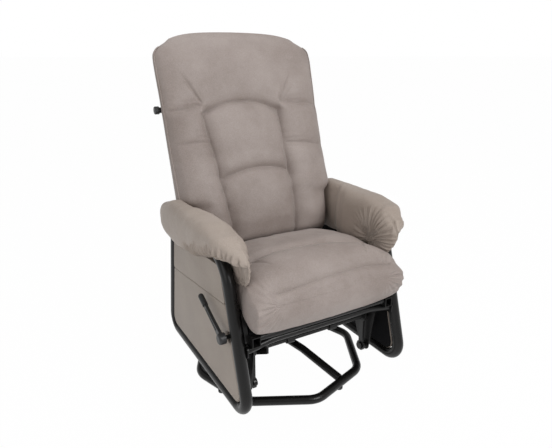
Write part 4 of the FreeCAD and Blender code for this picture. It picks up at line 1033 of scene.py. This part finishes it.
@dataclass
class SidePanel:
    """One padded piece of a side panel, rolled at its rim and lined black inside."""

    finishes: Finishes
    side: Side
    level: str
    rim_width: float = 0.006
    rim_segments: int = 4
    rim_angle: float = math.radians(50.0)
    inward: float = -0.8

    def build(self) -> None:
        """Make the cover from the panel's own solid, with a softened rim."""
        node = f"side_panel_{self.level}_{self.side.name.lower()}"
        low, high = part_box(node)
        source = bpy.data.objects[node]
        mesh = bmesh.new()
        mesh.from_mesh(source.data)
        bmesh.ops.remove_doubles(mesh, verts=mesh.verts, dist=2e-5)
        bmesh.ops.dissolve_limit(mesh, angle_limit=math.radians(2.0), verts=mesh.verts, edges=mesh.edges)
        name = f"side_cover_{self.level}_{self.side.name.lower()}"
        piece = finish_mesh(name, mesh, self.finishes.panel_hide)
        bevel = piece.modifiers.new("Rim", "BEVEL")
        bevel.width = self.rim_width
        bevel.segments = self.rim_segments
        bevel.limit_method = "ANGLE"
        bevel.angle_limit = self.rim_angle
        piece.data.materials.append(self.finishes.lining)
        middle = (low.x + high.x) / 2.0
        for polygon in piece.data.polygons:
            inside = polygon.normal.x * self.side.value < self.inward
            polygon.material_index = 1 if inside else 0
        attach(piece, Body.CHAIR.value)
        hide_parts(node)
        LOG.info("%s around x %.3f", piece.name, middle)


DULL_PIECES = frozenset({
    "lock_rack", "rack_brace", "cradle_arms", "turntable_plate", "seat_rail_right", "seat_rail_left",
    "front_hanger_right", "front_hanger_left", "rear_hanger_right", "rear_hanger_left",
    "axle_rods", "axle_collars", "hanger_pins", "lever_shaft", "back_hinge_pins", "recline_discs",
    "bracket_bolts",
})


@dataclass
class Metalwork:
    """Materials of the CAD pieces that show as they are."""

    finishes: Finishes

    def build(self) -> None:
        """Give each shown CAD piece its material."""
        by_slot = {
            "frame_paint": self.finishes.enamel,
            "bright_steel": self.finishes.steel,
            "nylon": self.finishes.nylon,
            "black_plastic": self.finishes.moulded,
            "webbing": self.finishes.webbing,
            "shell_cover": self.finishes.panel_hide,
            "upholstery": self.finishes.hide,
            "panel_cover": self.finishes.panel_hide,
        }
        slots = {row["node"]: row["material_slot"] for row in FRAME["record"]["subparts"]}
        for name, slot in slots.items():
            piece = bpy.data.objects[name]
            material = by_slot[slot]
            if name in DULL_PIECES:
                material = self.finishes.dull_enamel
            piece.data.materials.clear()
            piece.data.materials.append(material)
        LOG.info("%d CAD pieces dressed", len(slots))


LAMPS = (
    ("key", (0.9, -2.9, 2.4), (0.0, 0.0, 0.5), 1.4, 62.0),
    ("fill", (-2.8, -1.2, 1.9), (0.0, 0.0, 0.5), 2.0, 16.0),
    ("top", (0.0, 0.4, 3.2), (0.0, 0.0, 0.4), 2.2, 22.0),
)


@dataclass
class Studio:
    """White floor, soft lamps and the camera at the photograph's angle."""

    camera_place: Vector = field(default_factory=lambda: Vector((-0.7757, -1.3349 - ORIGIN_BACK, 1.0227)))
    azimuth: float = math.radians(-29.9)
    elevation: float = math.radians(18.69)
    lens: float = 32.54
    floor_size: float = 400.0
    ambience: float = 0.42

    def lamp(self, name: str, place: tuple[float, float, float], aim: tuple[float, float, float],
             size: float, power: float) -> None:
        """Add one soft square lamp.

        Args:
            name: The lamp's name.
            place: Where it hangs.
            aim: The point that it faces.
            size: Its side in metres.
            power: Its power in watts.
        """
        data = bpy.data.lights.new(name, "AREA")
        data.shape = "SQUARE"
        data.size = size
        data.energy = power
        holder = bpy.data.objects.new(name, data)
        holder.location = place
        holder.rotation_euler = (Vector(aim) - Vector(place)).to_track_quat("-Z", "Y").to_euler()
        bpy.context.scene.collection.objects.link(holder)

    def build(self) -> None:
        """Make floor, world, lamps and camera."""
        mesh = bmesh.new()
        bmesh.ops.create_grid(mesh, x_segments=2, y_segments=2, size=self.floor_size)
        floor = finish_mesh("floor", mesh, StudioWhite("studio_white").make(), flip=False)

        world = bpy.data.worlds.new("studio")
        bpy.context.scene.world = world
        world.use_nodes = True
        tree = world.node_tree
        tree.nodes.clear()
        output = tree.nodes.new("ShaderNodeOutputWorld")
        path = tree.nodes.new("ShaderNodeLightPath")
        ambient = tree.nodes.new("ShaderNodeBackground")
        ambient.inputs["Color"].default_value = WHITE
        ambient.inputs["Strength"].default_value = self.ambience
        seen = tree.nodes.new("ShaderNodeBackground")
        seen.inputs["Color"].default_value = WHITE
        seen.inputs["Strength"].default_value = 1.0
        mixer = tree.nodes.new("ShaderNodeMixShader")
        tree.links.new(path.outputs["Is Camera Ray"], mixer.inputs[0])
        tree.links.new(ambient.outputs[0], mixer.inputs[1])
        tree.links.new(seen.outputs[0], mixer.inputs[2])
        tree.links.new(mixer.outputs[0], output.inputs["Surface"])

        for lamp in LAMPS:
            self.lamp(*lamp)

        data = bpy.data.cameras.new("camera")
        data.lens = self.lens
        data.sensor_width = 36.0
        data.clip_start = 0.01
        holder = bpy.data.objects.new("camera", data)
        ahead = Vector((
            -math.sin(self.azimuth) * math.cos(self.elevation),
            math.cos(self.azimuth) * math.cos(self.elevation),
            -math.sin(self.elevation),
        ))
        holder.location = self.camera_place
        holder.rotation_euler = ahead.to_track_quat("-Z", "Y").to_euler()
        bpy.context.scene.collection.objects.link(holder)
        bpy.context.scene.camera = holder
        bpy.context.scene.view_settings.view_transform = "Standard"
        LOG.info("studio ready")


def main() -> None:
    """Build the dressed chair in order."""
    logging.basicConfig(level=logging.INFO, format="%(name)s: %(message)s")
    finishes = Finishes()
    Studio().build()
    Metalwork(finishes).build()
    BackRest(finishes).build()
    Seat(finishes).build()
    for side in Side:
        ArmPad(finishes, side).build()
        for level in ("lower", "upper"):
            SidePanel(finishes, side, level).build()


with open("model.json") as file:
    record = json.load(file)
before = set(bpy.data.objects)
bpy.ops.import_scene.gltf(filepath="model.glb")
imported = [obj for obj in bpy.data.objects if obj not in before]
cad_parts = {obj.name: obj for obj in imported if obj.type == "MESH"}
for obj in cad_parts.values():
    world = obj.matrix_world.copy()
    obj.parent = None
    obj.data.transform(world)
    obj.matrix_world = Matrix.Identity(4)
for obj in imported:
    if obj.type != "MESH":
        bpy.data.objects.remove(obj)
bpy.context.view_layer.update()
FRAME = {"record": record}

if __name__ == "__main__":
    main()
